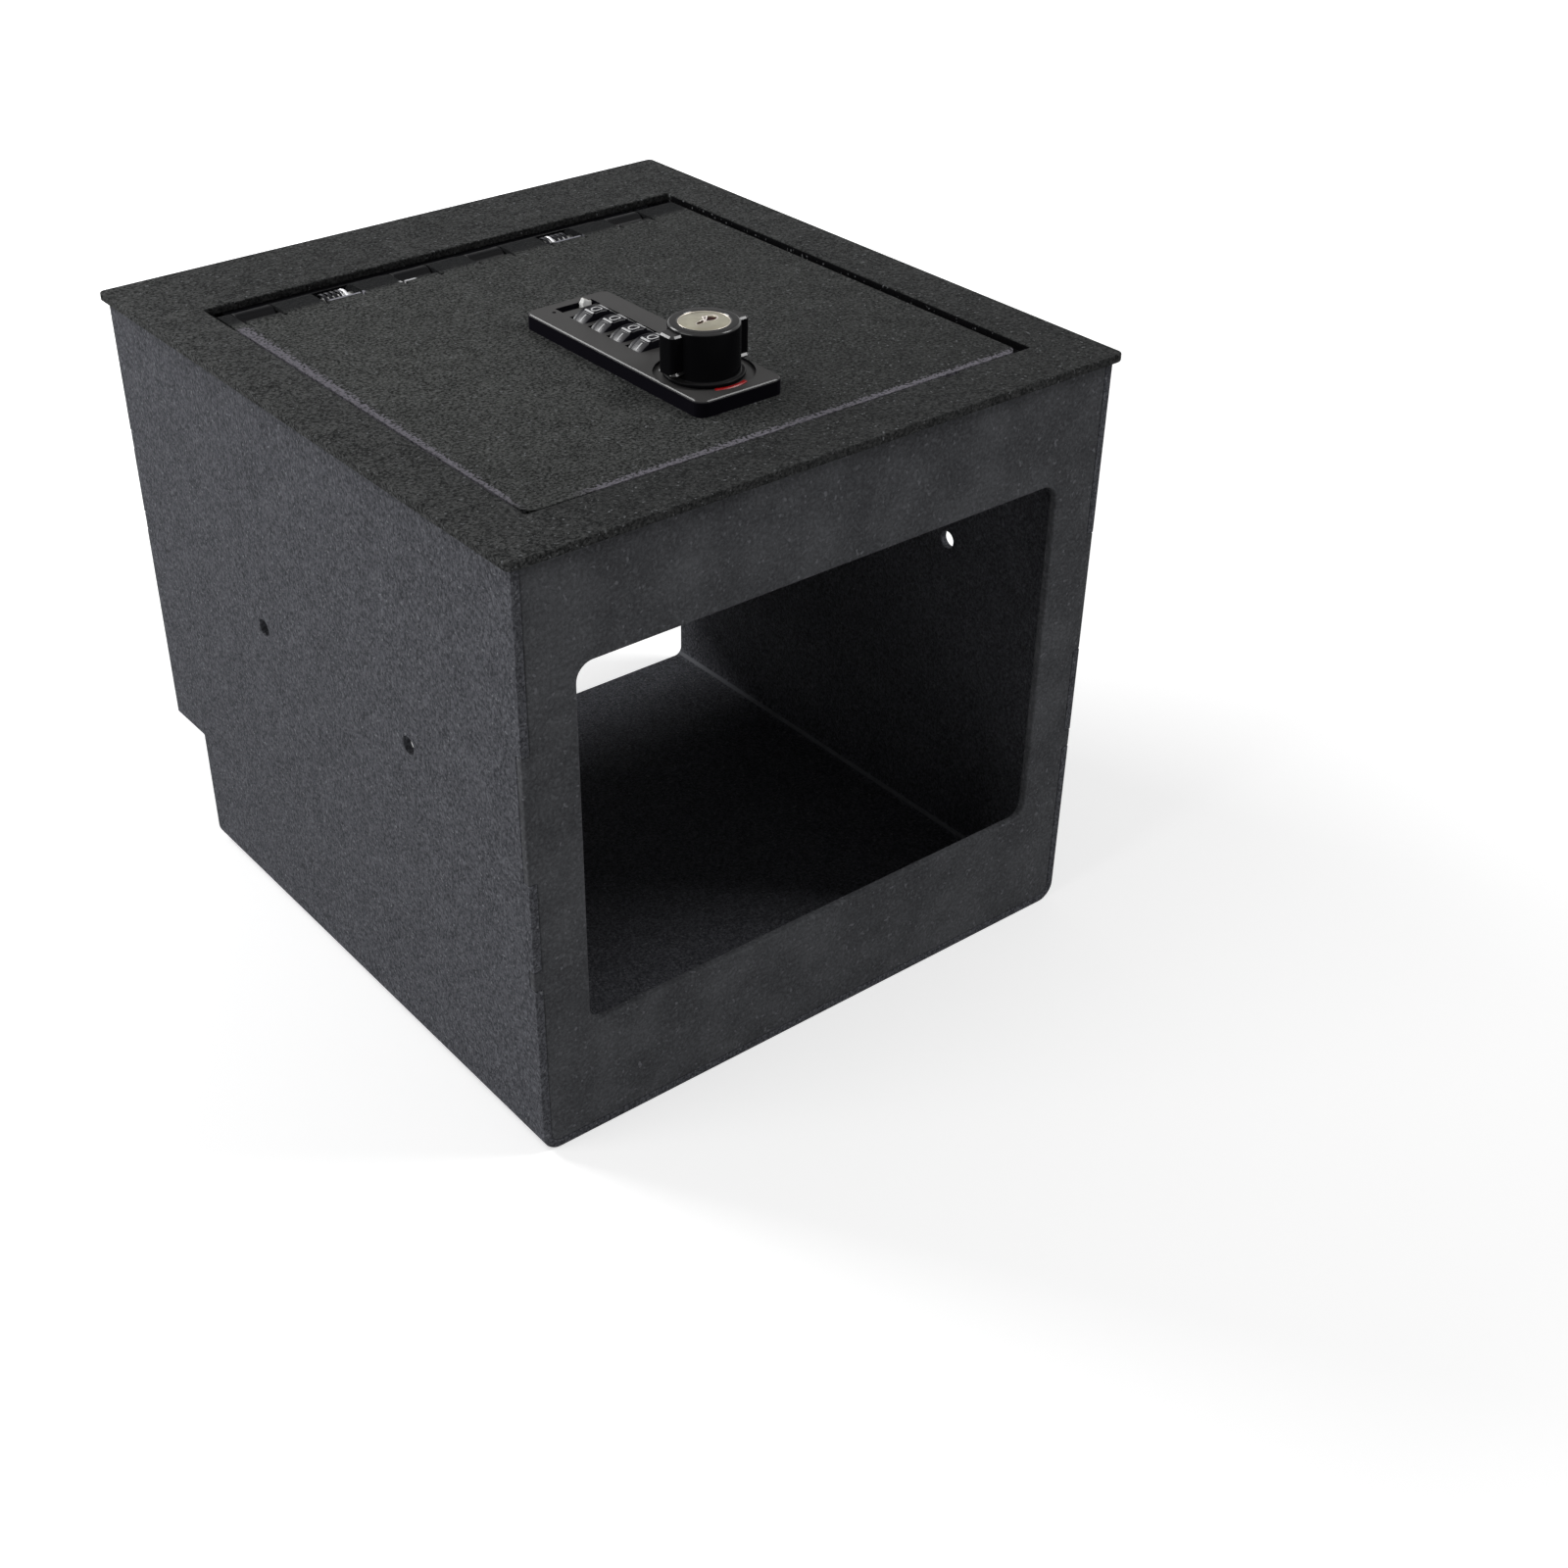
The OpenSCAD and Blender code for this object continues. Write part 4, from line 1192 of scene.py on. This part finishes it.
@dataclass
class WingedKnob:
    """The knob with its two wings, and the spindle, cam, washer and screw under it."""

    body_r: float = 9.7 * MM
    skirt_r: float = 11.0 * MM
    skirt_h: float = 1.0 * MM
    rim_round: float = 0.9 * MM
    skirt_round: float = 0.35 * MM
    skirt_edge: float = 0.2 * MM
    body_fillet: float = 0.3 * MM
    pocket_r: float = 7.05 * MM
    pocket_depth: float = 7.0 * MM
    pocket_edge: float = 0.2 * MM
    wing_inner: float = 7.8 * MM
    wing_width: float = 6.0 * MM
    wing_corner: float = 1.2 * MM
    wing_edge: float = 0.5 * MM
    wing_lift: float = 2.3 * MM
    wing_drop: float = 0.9 * MM
    foot_out: float = 0.55 * MM
    foot_height: float = 1.2 * MM
    spindle_r: float = 4.0 * MM
    spindle_up: float = 3.0 * MM
    metal_edge: float = 0.3 * MM
    washer_bore: float = 1.85 * MM
    washer_edge: float = 0.15 * MM
    screw_head: tuple[float, float] = (4.0 * MM, 2.8 * MM)
    screw_shaft: float = 1.8 * MM

    def build(self) -> None:
        """Makes the knob and what turns with it."""
        low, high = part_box("knob")
        self.body(low, high)
        self.wings(low, high)
        for node, name in (("spindle", "spindle_rod"), ("cam", "cam_plate")):
            dress(softened(node, name, self.metal_edge), Body.KNOB.value, Finish.ZINC)
        low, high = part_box("cam_washer")
        tall, edge = high.z - low.z, self.washer_edge
        outer, inner = (high.x - low.x) / 2.0, self.washer_bore
        profile = np.array([(inner, 0.0), (outer - edge, 0.0), (outer, edge), (outer, tall - edge),
                            (outer - edge, tall), (inner, tall)])
        washer = turned("cam_flat_washer", profile, foot("cam_washer"), 64, 25.0)
        dress(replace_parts(washer, "cam_washer"), Body.KNOB.value, Finish.ZINC)
        low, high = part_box("cam_screw")
        head_r, head_h = self.screw_head
        place = middle("cam_screw")
        head_top = Vector((place.x, place.y, low.z + head_h))
        length = high.z - head_top.z
        screw = cross_screw("cam_cross_screw", head_top, head_r, head_h, self.screw_shaft, length)
        dress(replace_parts(screw, "cam_screw"), Body.KNOB.value, Finish.ZINC)

    def body(self, low: Vector, high: Vector) -> None:
        """The turned body: a thin skirt, a straight side, a round rim and the key plug's pocket.

        Args:
            low: the knob's lowest corner.
            high: the knob's highest corner.
        """
        tall, place = high.z - low.z, middle("spindle")
        bend, hollow, edge = self.skirt_round, self.body_fillet, self.skirt_edge
        skirt = arc((self.skirt_r - bend, self.skirt_h - bend), bend, 0, 90, 5)
        fillet = arc((self.body_r + hollow, self.skirt_h + hollow), hollow, 270, 180, 4)
        rim = arc((self.body_r - self.rim_round, tall - self.rim_round), self.rim_round, 0, 90, 8)
        profile = np.concatenate([
            np.array([(0.0, self.spindle_up), (self.spindle_r, self.spindle_up), (self.spindle_r, 0.0),
                      (self.skirt_r - edge, 0.0), (self.skirt_r, edge)]),
            skirt, fillet, rim,
            np.array([(self.pocket_r + self.pocket_edge, tall), (self.pocket_r, tall - self.pocket_edge),
                      (self.pocket_r, tall - self.pocket_depth), (0.0, tall - self.pocket_depth)])])
        body = turned("knob_body", profile, Vector((place.x, place.y, low.z)), 160, 30.0)
        dress(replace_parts(body, "knob"), Body.KNOB.value, Finish.KNOB)

    def wings(self, low: Vector, high: Vector) -> None:
        """Two upright bars with round corners that stand out of the body, each on a wider foot.

        Args:
            low: the knob's lowest corner.
            high: the knob's highest corner.
        """
        place, half = middle("spindle"), self.wing_width / 2.0
        reach, base = (high.x - low.x) / 2.0, low.z + self.wing_lift
        for name, side in (("knob_wing_left", -1.0), ("knob_wing_right", 1.0)):
            left, right = sorted((place.x + side * self.wing_inner, place.x + side * reach))
            bar_parts = ((name, 0.0, high.z - self.wing_drop, self.wing_edge),
                         (f"{name}_foot", self.foot_out, base + self.foot_height, self.foot_out))
            for piece, out, top, edge in bar_parts:
                bar = slab(piece, Vector((left, place.y - half - out, base)),
                           Vector((right, place.y + half + out, top)), self.wing_corner, edge)
                dress(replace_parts(bar, "knob"), Body.KNOB.value, Finish.KNOB)


@dataclass
class KeyPlug:
    """The key plug's face with its keyway, and the folded shutter that shows in it."""

    waist: tuple[float, float] = (1.0 * MM, 0.5 * MM)
    right_hole: tuple[float, float, float] = (2.5 * MM, 2.0 * MM, 1.6 * MM)
    left_hole: tuple[float, float, float] = (-1.9 * MM, 1.1 * MM, 0.6 * MM)
    tilt: float = 13.0
    far_side: float = 54.0
    depth: float = 4.0 * MM
    rim: float = 0.35 * MM
    ring: float = 0.28 * MM
    ring_height: float = 0.08 * MM
    lip: float = 0.24 * MM
    fold: float = 0.24 * MM
    fold_foot: tuple[float, float, float] = (-0.35 * MM, -0.9 * MM, -0.12 * MM)
    floor_drop: float = 0.3 * MM
    floor_thick: float = 0.3 * MM
    steps: int = 360

    def build(self) -> None:
        """Makes the plug with its bright rims, the keyway's floor and the folds of its shutter."""
        low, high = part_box("key_plug")
        place = middle("key_plug")
        self.plug(low, high, place)
        self.rims(low, high, place)
        self.shutter(high, place)
        self.floor(high, place)

    def opening(self, angle: np.ndarray) -> np.ndarray:
        """Radius of the keyway: the largest of its waist and its two oval holes.

        An oval round (c, 0) with half axes a and b is met at the larger root r of
        ((r cos t - c) / a)^2 + (r sin t / b)^2 = 1, which is real near the X axis only.

        Args:
            angle: the angles round the plug's middle, in radians.

        Returns:
            The radius at every angle.
        """
        tiny = 1e-6
        cosine, sine = np.cos(angle), np.sin(angle)
        radius = np.minimum(self.waist[0] / np.maximum(np.abs(cosine), tiny),
                            self.waist[1] / np.maximum(np.abs(sine), tiny))
        turned_by = math.radians(self.tilt)
        cosine, sine = np.cos(angle - turned_by), np.sin(angle - turned_by)
        for centre, long, short in (self.right_hole, self.left_hole):
            first = (cosine / long) ** 2 + (sine / short) ** 2
            second = -2.0 * centre * cosine / long**2
            inside = second**2 - 4.0 * first * ((centre / long) ** 2 - 1.0)
            far = (-second + np.sqrt(np.maximum(inside, 0.0))) / (2.0 * first)
            radius = np.where((inside > 0.0) & (second < 0.0), np.maximum(radius, far), radius)
        return radius

    def plug(self, low: Vector, high: Vector, place: Vector) -> None:
        """The plug: rings from its foot over its rim to the edge of the keyway and down into it.

        Args:
            low: the plug's lowest corner.
            high: the plug's highest corner.
            place: the plug's middle.
        """
        angle = np.linspace(0.0, 2.0 * np.pi, self.steps, endpoint=False)
        opening, tall = self.opening(angle), high.z - low.z
        outer = (high.x - low.x) / 2.0
        face = outer - self.rim
        rows = [(0.0, 0.0), (outer, 0.0), (outer, tall - self.rim), (outer - 0.12 * MM, tall - 0.1 * MM),
                (face, tall), (0.5 * face + 0.5 * opening + 0.1 * MM, tall), (opening, tall),
                (0.97 * opening, tall - 0.3 * MM), (0.92 * opening, tall - 1.6 * MM),
                (0.88 * opening, tall - self.depth), (0.0, tall - self.depth)]
        base = Vector((place.x, place.y, low.z))
        plug = ringed("key_plug_face", rows, self.steps, base, False, 30.0)
        dress(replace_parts(plug, "key_plug"), Body.KEY.value, Finish.NICKEL)

    def rims(self, low: Vector, high: Vector, place: Vector) -> None:
        """The bright rim round the plug and the bright lip round the keyway.

        Args:
            low: the plug's lowest corner.
            high: the plug's highest corner.
            place: the plug's middle.
        """
        outer, top = (high.x - low.x) / 2.0, Vector((place.x, place.y, high.z))
        inner, height = outer - self.ring, self.ring_height
        profile = np.array([(inner, -0.2 * MM), (outer, -0.2 * MM), (outer, 0.0),
                            (outer - 0.08 * MM, height), (outer - 0.2 * MM, height), (inner, 0.0)])
        dress(turned("key_plug_rim", profile, top, 160, 40.0), Body.KEY.value, Finish.RIM)
        angle = np.linspace(0.0, 2.0 * np.pi, self.steps, endpoint=False)
        opening = self.opening(angle)
        wide = self.lip * (1.0 + 1.6 * np.maximum(np.cos(angle - math.radians(self.far_side)), 0.0))
        rows = [(0.985 * opening, -0.25 * MM), (opening, 0.02 * MM), (opening + 0.3 * wide, 0.06 * MM),
                (opening + 0.8 * wide, 0.05 * MM), (opening + wide, -0.05 * MM)]
        lip = ringed("key_lip", rows, self.steps, top, True, 50.0)
        dress(lip, Body.KEY.value, Finish.SHUTTER)

    def shutter(self, high: Vector, place: Vector) -> None:
        """Two bright folds of the shutter, which stand in the keyway as a V."""
        top, near = np.array((place.x, place.y, high.z)), np.array(self.fold_foot)
        for name, far in (("key_fold_left", (1.4, 2.5, -0.02)), ("key_fold_right", (2.4, 2.0, -0.02))):
            path = top + np.linspace(near, np.array(far) * MM, 5)
            fold = swept_wire(name, path, self.fold, 12)
            dress(fold, Body.KEY.value, Finish.SHUTTER)

    def floor(self, high: Vector, place: Vector) -> None:
        """The dark red bottom of the keyway."""
        angle = np.linspace(0.0, 2.0 * np.pi, 180, endpoint=False)
        radius = np.repeat(0.975 * self.opening(angle)[None, :], 2, axis=0)
        height = np.array([-self.floor_drop - self.floor_thick, -self.floor_drop])
        floor = stacked_rings("key_floor", round_points(radius, height, Vector((place.x, place.y, high.z))))
        dress(floor, Body.KEY.value, Finish.TUMBLER)


@dataclass
class DialSet:
    """The four dials with their ribs and painted digits."""

    digit_w: float = 4.4 * MM
    collar_w: float = 1.7 * MM
    body_r: float = 7.9 * MM
    collar_r: float = 7.6 * MM
    bore: float = 1.55 * MM
    rib_height: float = 0.26 * MM
    rib_half: float = 0.5 * MM
    bar: float = 0.62 * MM
    edge: float = 0.25 * MM
    stroke: float = 0.42 * MM
    paint: float = 0.05 * MM
    bar_sink: float = 0.02 * MM
    side_round: float = 0.1 * MM
    digit_total: int = 10
    steps: int = 400

    def build(self) -> None:
        """Makes every dial with its digits."""
        for body in (Body.DIAL_1, Body.DIAL_2, Body.DIAL_3, Body.DIAL_4):
            low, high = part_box(body.value)
            centre = Vector(((low.x + high.x) / 2.0, low.y + self.digit_w / 2.0, (low.z + high.z) / 2.0))
            self.wheel(body, centre)
            self.digits(body, centre)

    def wheel(self, body: Body, centre: Vector) -> None:
        """The dial: rings from the bore over its ribbed part and its collar back to the bore.

        A rib's height is a smooth step of the distance from its middle along the rim.

        Args:
            body: the dial, whose node has the same name.
            centre: the middle of its ribbed part.
        """
        angle = np.linspace(0.0, 2.0 * np.pi, self.steps, endpoint=False)
        pitch = 2.0 * np.pi / self.digit_total
        away = np.abs(angle % pitch - pitch / 2.0) * self.body_r
        rib = 1.0 - smooth_step(away, self.rib_half - 0.15 * MM, self.rib_half + 0.1 * MM)
        half, edge, side = self.digit_w / 2.0, self.edge, self.side_round
        ribbed = self.body_r + self.rib_height * rib
        end = half + self.collar_w
        rows = [(self.bore, -half), (self.body_r - 1.2 * MM, -half), (self.body_r - edge, -half),
                (ribbed - side, -half + 0.08 * MM), (ribbed, -half + edge), (ribbed, half - edge),
                (ribbed - side, half - 0.08 * MM), (self.collar_r - side, half),
                (self.collar_r, half + 0.15 * MM), (self.collar_r, end - edge),
                (self.collar_r - edge, end), (self.bore, end)]
        wheel = ringed(f"{body.value}_wheel", rows, self.steps, centre, True, 35.0, True)
        dress(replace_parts(wheel, body.value), body.value, Finish.DIAL)

    def strokes(self) -> list[list[tuple[np.ndarray, bool]]]:
        """The digits' middle lines in millimetres, 0 to 9: each stroke is a path and whether it closes."""
        ring = arc((0.0, 0.0), 1.0, 0.0, 345.0, 23)
        stadium = np.concatenate([arc((0.0, 0.4), 1.1, 0, 180, 12), line((-1.1, 0.3), (-1.1, -0.3), 2),
                                  arc((0.0, -0.4), 1.1, 180, 360, 12), line((1.1, -0.3), (1.1, 0.3), 2)])
        two = np.concatenate([arc((0.0, 0.5), 1.0, 170, -20, 12), line((0.8, -0.1), (-1.0, -1.45), 8)])
        three = [arc((0.0, 0.75), 0.75, 150, -90, 12) * (1.2, 1.0),
                 arc((0.0, -0.75), 0.75, 90, -150, 12) * (1.3, 1.0)]
        five = np.concatenate([line((-0.85, 1.5), (-0.95, 0.1), 6), arc((0.0, -0.5), 1.0, 140, -150, 14)])
        tail = arc((0.6, -0.5), 1.6, 180, 105, 10) * (1.0, 1.25) + (0.0, 0.12)
        return [
            [(stadium, True)],
            [(line((0.0, -1.25), (0.0, 1.25)), False)],
            [(two, False), (line((-1.1, -1.5), (1.1, -1.5), 4), False)],
            [(three[0], False), (three[1], False)],
            [(line((0.5, -1.5), (0.5, 1.5)), False), (line((0.5, 1.5), (-1.1, -0.6)), False),
             (line((-1.1, -0.6), (1.1, -0.6), 4), False)],
            [(line((-0.85, 1.5), (0.95, 1.5), 4), False), (five, False)],
            [(ring * (1.0, 0.95) + (0.0, -0.55), True), (tail, False)],
            [(line((-1.1, 1.5), (1.1, 1.5), 4), False), (line((1.1, 1.5), (-0.3, -1.5)), False)],
            [(ring * (0.85, 0.68) + (0.0, 0.78), True), (ring * (1.0, 0.78) + (0.0, -0.7), True)],
            [(ring * (1.0, 0.95) + (0.0, 0.55), True), (-tail, False)],
        ]

    def ribbon(
        self, path: np.ndarray, closed: bool, turn: float, centre: Vector, width: float, rise: float
    ) -> tuple[np.ndarray, list]:
        """One raised stroke laid on the dial's rim.

        A point (a, b) of the path goes to the angle turn - b / r and to y - a. The stroke's four edges
        lie half its width to each side, below and above the rim.

        Args:
            path: the stroke's middle line.
            closed: whether it joins its start.
            turn: the digit's angle on the dial.
            centre: the middle of the dial's ribbed part.
            width: the stroke's width.
            rise: how far above the dial's rim it lies.

        Returns:
            The points and the faces.
        """
        if closed:
            ahead = np.roll(path, -1, axis=0) - np.roll(path, 1, axis=0)
        else:
            ahead = np.gradient(path, axis=0)
        ahead /= np.linalg.norm(ahead, axis=1, keepdims=True)
        side = np.stack([-ahead[:, 1], ahead[:, 0]], axis=-1) * width / 2.0
        left, right = path + side, path - side
        flat = np.stack([left, right, right, left], axis=1)
        low, high = self.body_r + rise - self.paint, self.body_r + rise + self.paint
        radius = np.array([low, low, high, high])[None, :]
        angle = turn - flat[:, :, 1] / self.body_r
        points = np.stack([centre.x - radius * np.sin(angle), centre.y - flat[:, :, 0],
                           centre.z + radius * np.cos(angle)], axis=-1)
        faces = quads(len(path), 4, closed, True).tolist()
        if not closed:
            last = 4 * (len(path) - 1)
            faces += [[0, 1, 2, 3], [last, last + 1, last + 2, last + 3]]
        return points.reshape(-1, 3), faces

    def digits(self, body: Body, centre: Vector) -> None:
        """The painted digits of one dial and the paint on its ribs.

        Args:
            body: the dial.
            centre: the middle of its ribbed part.
        """
        pitch = 2.0 * math.pi / self.digit_total
        parts = [self.ribbon(path * MM, closed, pitch * digit, centre, self.stroke, 0.0)
                 for digit, strokes in enumerate(self.strokes()) for path, closed in strokes]
        reach, rise = self.digit_w / 2.0 - self.edge, self.rib_height - self.bar_sink
        across = line((-reach, 0.0), (reach, 0.0), 8)
        parts += [self.ribbon(across, False, pitch * (digit + 0.5), centre, self.bar, rise)
                  for digit in range(self.digit_total)]
        starts = np.cumsum([0] + [len(points) for points, _ in parts])
        faces = [[corner + int(start) for corner in face]
                 for start, (_, part_faces) in zip(starts, parts) for face in part_faces]
        points = np.concatenate([part_points for part_points, _ in parts])
        digits = mesh_piece(f"{body.value}_digits", points, faces, 50.0)
        dress(digits, body.value, Finish.PAINT)


@dataclass
class CodeSlide:
    """The white pointer in its slot: steep and wide at its left end, low and narrow at its right."""

    places: tuple[float, ...] = (0.0, 0.05, 0.20, 0.26, 0.45, 0.7, 1.0)
    heights: tuple[float, ...] = (0.25, 0.45, 1.40, 1.42, 1.05, 0.62, 0.28)
    narrowing: float = 0.6
    reach: float = 0.82
    fullness: float = 0.9
    stem: float = 1.45 * MM
    # painted shade: a dark disc in place of the pointer's pinhole
    dot: float = 0.32 * MM
    dot_place: tuple[float, float] = (0.74, 0.66 * MM)

    def build(self) -> None:
        """Makes the pointer and a dark disc near its right end, painted shade in place of a pinhole."""
        low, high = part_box("code_slide")
        face = low.z + self.stem
        share = np.linspace(0.0, 1.0, 49)
        rise = np.interp(share, self.places, self.heights) * MM
        narrowed = 1.0 - self.narrowing * smooth_step(share, 0.25, 1.0)
        half = self.fullness * (high.y - low.y) / 2.0 * narrowed
        angle = np.linspace(0.0, np.pi, 17)
        across = np.concatenate([[1.0], np.sign(np.cos(angle)) * np.abs(np.cos(angle)) ** 0.5, [-1.0]])
        lift = np.concatenate([[-1.0], np.sin(angle) ** 0.5, [-1.0]])
        height = np.where(lift[None, :] < 0.0, low.z, face + lift[None, :] * rise[:, None])
        length = self.reach * (high.x - low.x)
        points = np.stack([np.repeat(low.x + share[:, None] * length, len(lift), axis=1),
                           (low.y + high.y) / 2.0 + half[:, None] * across[None, :], height], axis=-1)
        slide = stacked_rings("code_pointer", points, 35.0)
        dress(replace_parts(slide, "code_slide"), Body.SLIDE.value, Finish.WHITE)
        # painted shade: a dark disc where the pointer has a pinhole
        along, up = self.dot_place
        disc = np.array([(0.0, -0.3 * MM), (self.dot, -0.3 * MM), (self.dot, 0.0), (0.0, 0.03 * MM)])
        spot = Vector((low.x + along * length, (low.y + high.y) / 2.0, face + up))
        dress(turned("code_pointer_pinhole_shade", disc, spot, 32), Body.SLIDE.value, Finish.KNOB)


@dataclass(frozen=True)
class Lamp:
    """A soft rectangular lamp that points at the middle of the safe."""

    name: str
    azimuth: float
    elevation: float
    distance: float
    width: float
    height: float
    power: float
    colour: Colour = (1.0, 1.0, 1.0)

    def build(self, target: Vector) -> None:
        """Hangs the lamp.

        Args:
            target: the point it faces.
        """
        turn, lift = math.radians(self.azimuth), math.radians(self.elevation)
        back = Vector((math.sin(turn) * math.cos(lift), -math.cos(turn) * math.cos(lift), math.sin(lift)))
        light = bpy.data.lights.new(self.name, "AREA")
        light.shape, light.size, light.size_y = "RECTANGLE", self.width, self.height
        light.energy, light.color = self.power, self.colour
        hung = bpy.data.objects.new(self.name, light)
        hung.location = target + back * self.distance
        hung.rotation_mode = "QUATERNION"
        hung.rotation_quaternion = (-back).to_track_quat("-Z", "Y")
        bpy.context.scene.collection.objects.link(hung)


@dataclass
class Studio:
    """A pale floor, a white background, soft lamps and the camera."""

    azimuth: float = 37.043
    elevation: float = -35.581
    roll: float = -0.426
    place: tuple[float, float, float] = (-0.32347, -0.47014, 0.40363)
    lens: float = 48.42
    sensor: float = 36.0
    shift: tuple[float, float] = (0.0625, 0.05)
    clip: tuple[float, float] = (0.01, 50.0)
    floor_size: float = 12.0
    floor_gap: float = 0.02 * MM
    floor_glow: tuple[float, float] = (0.45, 0.75)
    glow_run: tuple[float, float] = (0.3, 1.0)
    world_strength: float = 0.2
    floor_colour: Colour = (0.86, 0.86, 0.86)
    lamps: list[Lamp] = field(default_factory=lambda: [
        Lamp("key_lamp", -95.0, 25.0, 1.4, 0.9, 0.9, 6.3),
        Lamp("rear_rim_lamp", -153.0, 33.0, 1.2, 0.5, 0.5, 8.0),
        Lamp("front_rim_lamp", 56.0, 48.0, 1.2, 0.4, 0.4, 5.0),
    ])

    def build(self) -> None:
        """Sets up the whole studio."""
        self.camera()
        self.world()
        self.floor()
        low, high = CAD_BOX
        for lamp in self.lamps:
            lamp.build((low + high) / 2.0)
        bpy.context.scene.view_settings.view_transform = "Standard"

    def camera(self) -> None:
        """Places the camera where the photograph was taken from."""
        turn, lift = math.radians(self.azimuth), math.radians(self.elevation)
        ahead = Vector((math.sin(turn) * math.cos(lift), math.cos(turn) * math.cos(lift), math.sin(lift)))
        level = Vector((math.cos(turn), -math.sin(turn), 0.0))
        right = Matrix.Rotation(math.radians(-self.roll), 4, ahead) @ level
        up = right.cross(ahead)
        data = bpy.data.cameras.new("camera")
        data.lens, data.sensor_width = self.lens, self.sensor
        data.shift_x, data.shift_y = self.shift
        data.clip_start, data.clip_end = self.clip
        camera = bpy.data.objects.new("camera", data)
        turned_to = Matrix((right, up, -ahead)).transposed().to_4x4()
        camera.matrix_world = Matrix.Translation(self.place) @ turned_to
        bpy.context.scene.collection.objects.link(camera)
        bpy.context.scene.camera = camera

    def world(self) -> None:
        """A world that is white to the camera and to reflections and softer as a light."""
        world = bpy.data.worlds.new("studio")
        world.use_nodes = True
        tree = world.node_tree
        tree.nodes.clear()
        path = tree.nodes.new("ShaderNodeLightPath")
        seen = path.outputs["Is Camera Ray"]
        for ray in ("Is Glossy Ray", "Is Transmission Ray"):
            either = tree.nodes.new("ShaderNodeMath")
            either.operation = "MAXIMUM"
            tree.links.new(seen, either.inputs[0])
            tree.links.new(path.outputs[ray], either.inputs[1])
            seen = either.outputs[0]
        strength = tree.nodes.new("ShaderNodeMapRange")
        strength.inputs["To Min"].default_value = self.world_strength
        strength.inputs["To Max"].default_value = 1.0
        tree.links.new(seen, strength.inputs["Value"])
        glow = tree.nodes.new("ShaderNodeBackground")
        glow.inputs["Color"].default_value = (1.0, 1.0, 1.0, 1.0)
        tree.links.new(strength.outputs[0], glow.inputs["Strength"])
        end = tree.nodes.new("ShaderNodeOutputWorld")
        tree.links.new(glow.outputs[0], end.inputs["Surface"])
        bpy.context.scene.world = world

    def floor(self) -> None:
        """A wide pale floor that takes the safe's shadow and is white to the camera where it is lit."""
        half = self.floor_size / 2.0
        level = CAD_BOX[0].z - self.floor_gap
        square = [(-half, -half, level), (half, -half, level), (half, half, level), (-half, half, level)]
        mesh = bpy.data.meshes.new("floor")
        mesh.from_pydata(square, [], [(0, 1, 2, 3)])
        plane = bpy.data.objects.new("floor", mesh)
        bpy.context.scene.collection.objects.link(plane)
        shader = Shader("pale_floor")
        lit = shader.node("ShaderNodeBsdfDiffuse", {}, {"Color": rgba(self.floor_colour)})
        camera_ray = shader.node("ShaderNodeLightPath", {}, {}, "Is Camera Ray")
        along_x, along_y, _ = shader.axes(shader.place())
        away = (along_x * along_x + along_y * along_y) ** 0.5
        near, far = self.floor_glow
        white = (near + far * away.between(*self.glow_run)) * camera_ray
        glow = shader.node("ShaderNodeEmission", {}, {"Color": rgba((1.0, 1.0, 1.0)), "Strength": white})
        shader.node_out(shader.node("ShaderNodeAddShader", {}, {0: lit, 1: glow}))
        mesh.materials.append(shader.material)


def corners(box: tuple[Vector, Vector]) -> list[list[float]]:
    """A box's corners as plain numbers."""
    return [[float(part) for part in corner] for corner in box]


def main() -> None:
    """Builds every sub-assembly in order."""
    logging.basicConfig(level=logging.INFO, format="%(name)s: %(message)s")
    Studio().build()
    SheetCase().build()
    SprungHinge().build()
    LidSheet().build()
    LockBody().build()
    WingedKnob().build()
    KeyPlug().build()
    DialSet().build()
    CodeSlide().build()


if __name__ == "__main__":
    main()
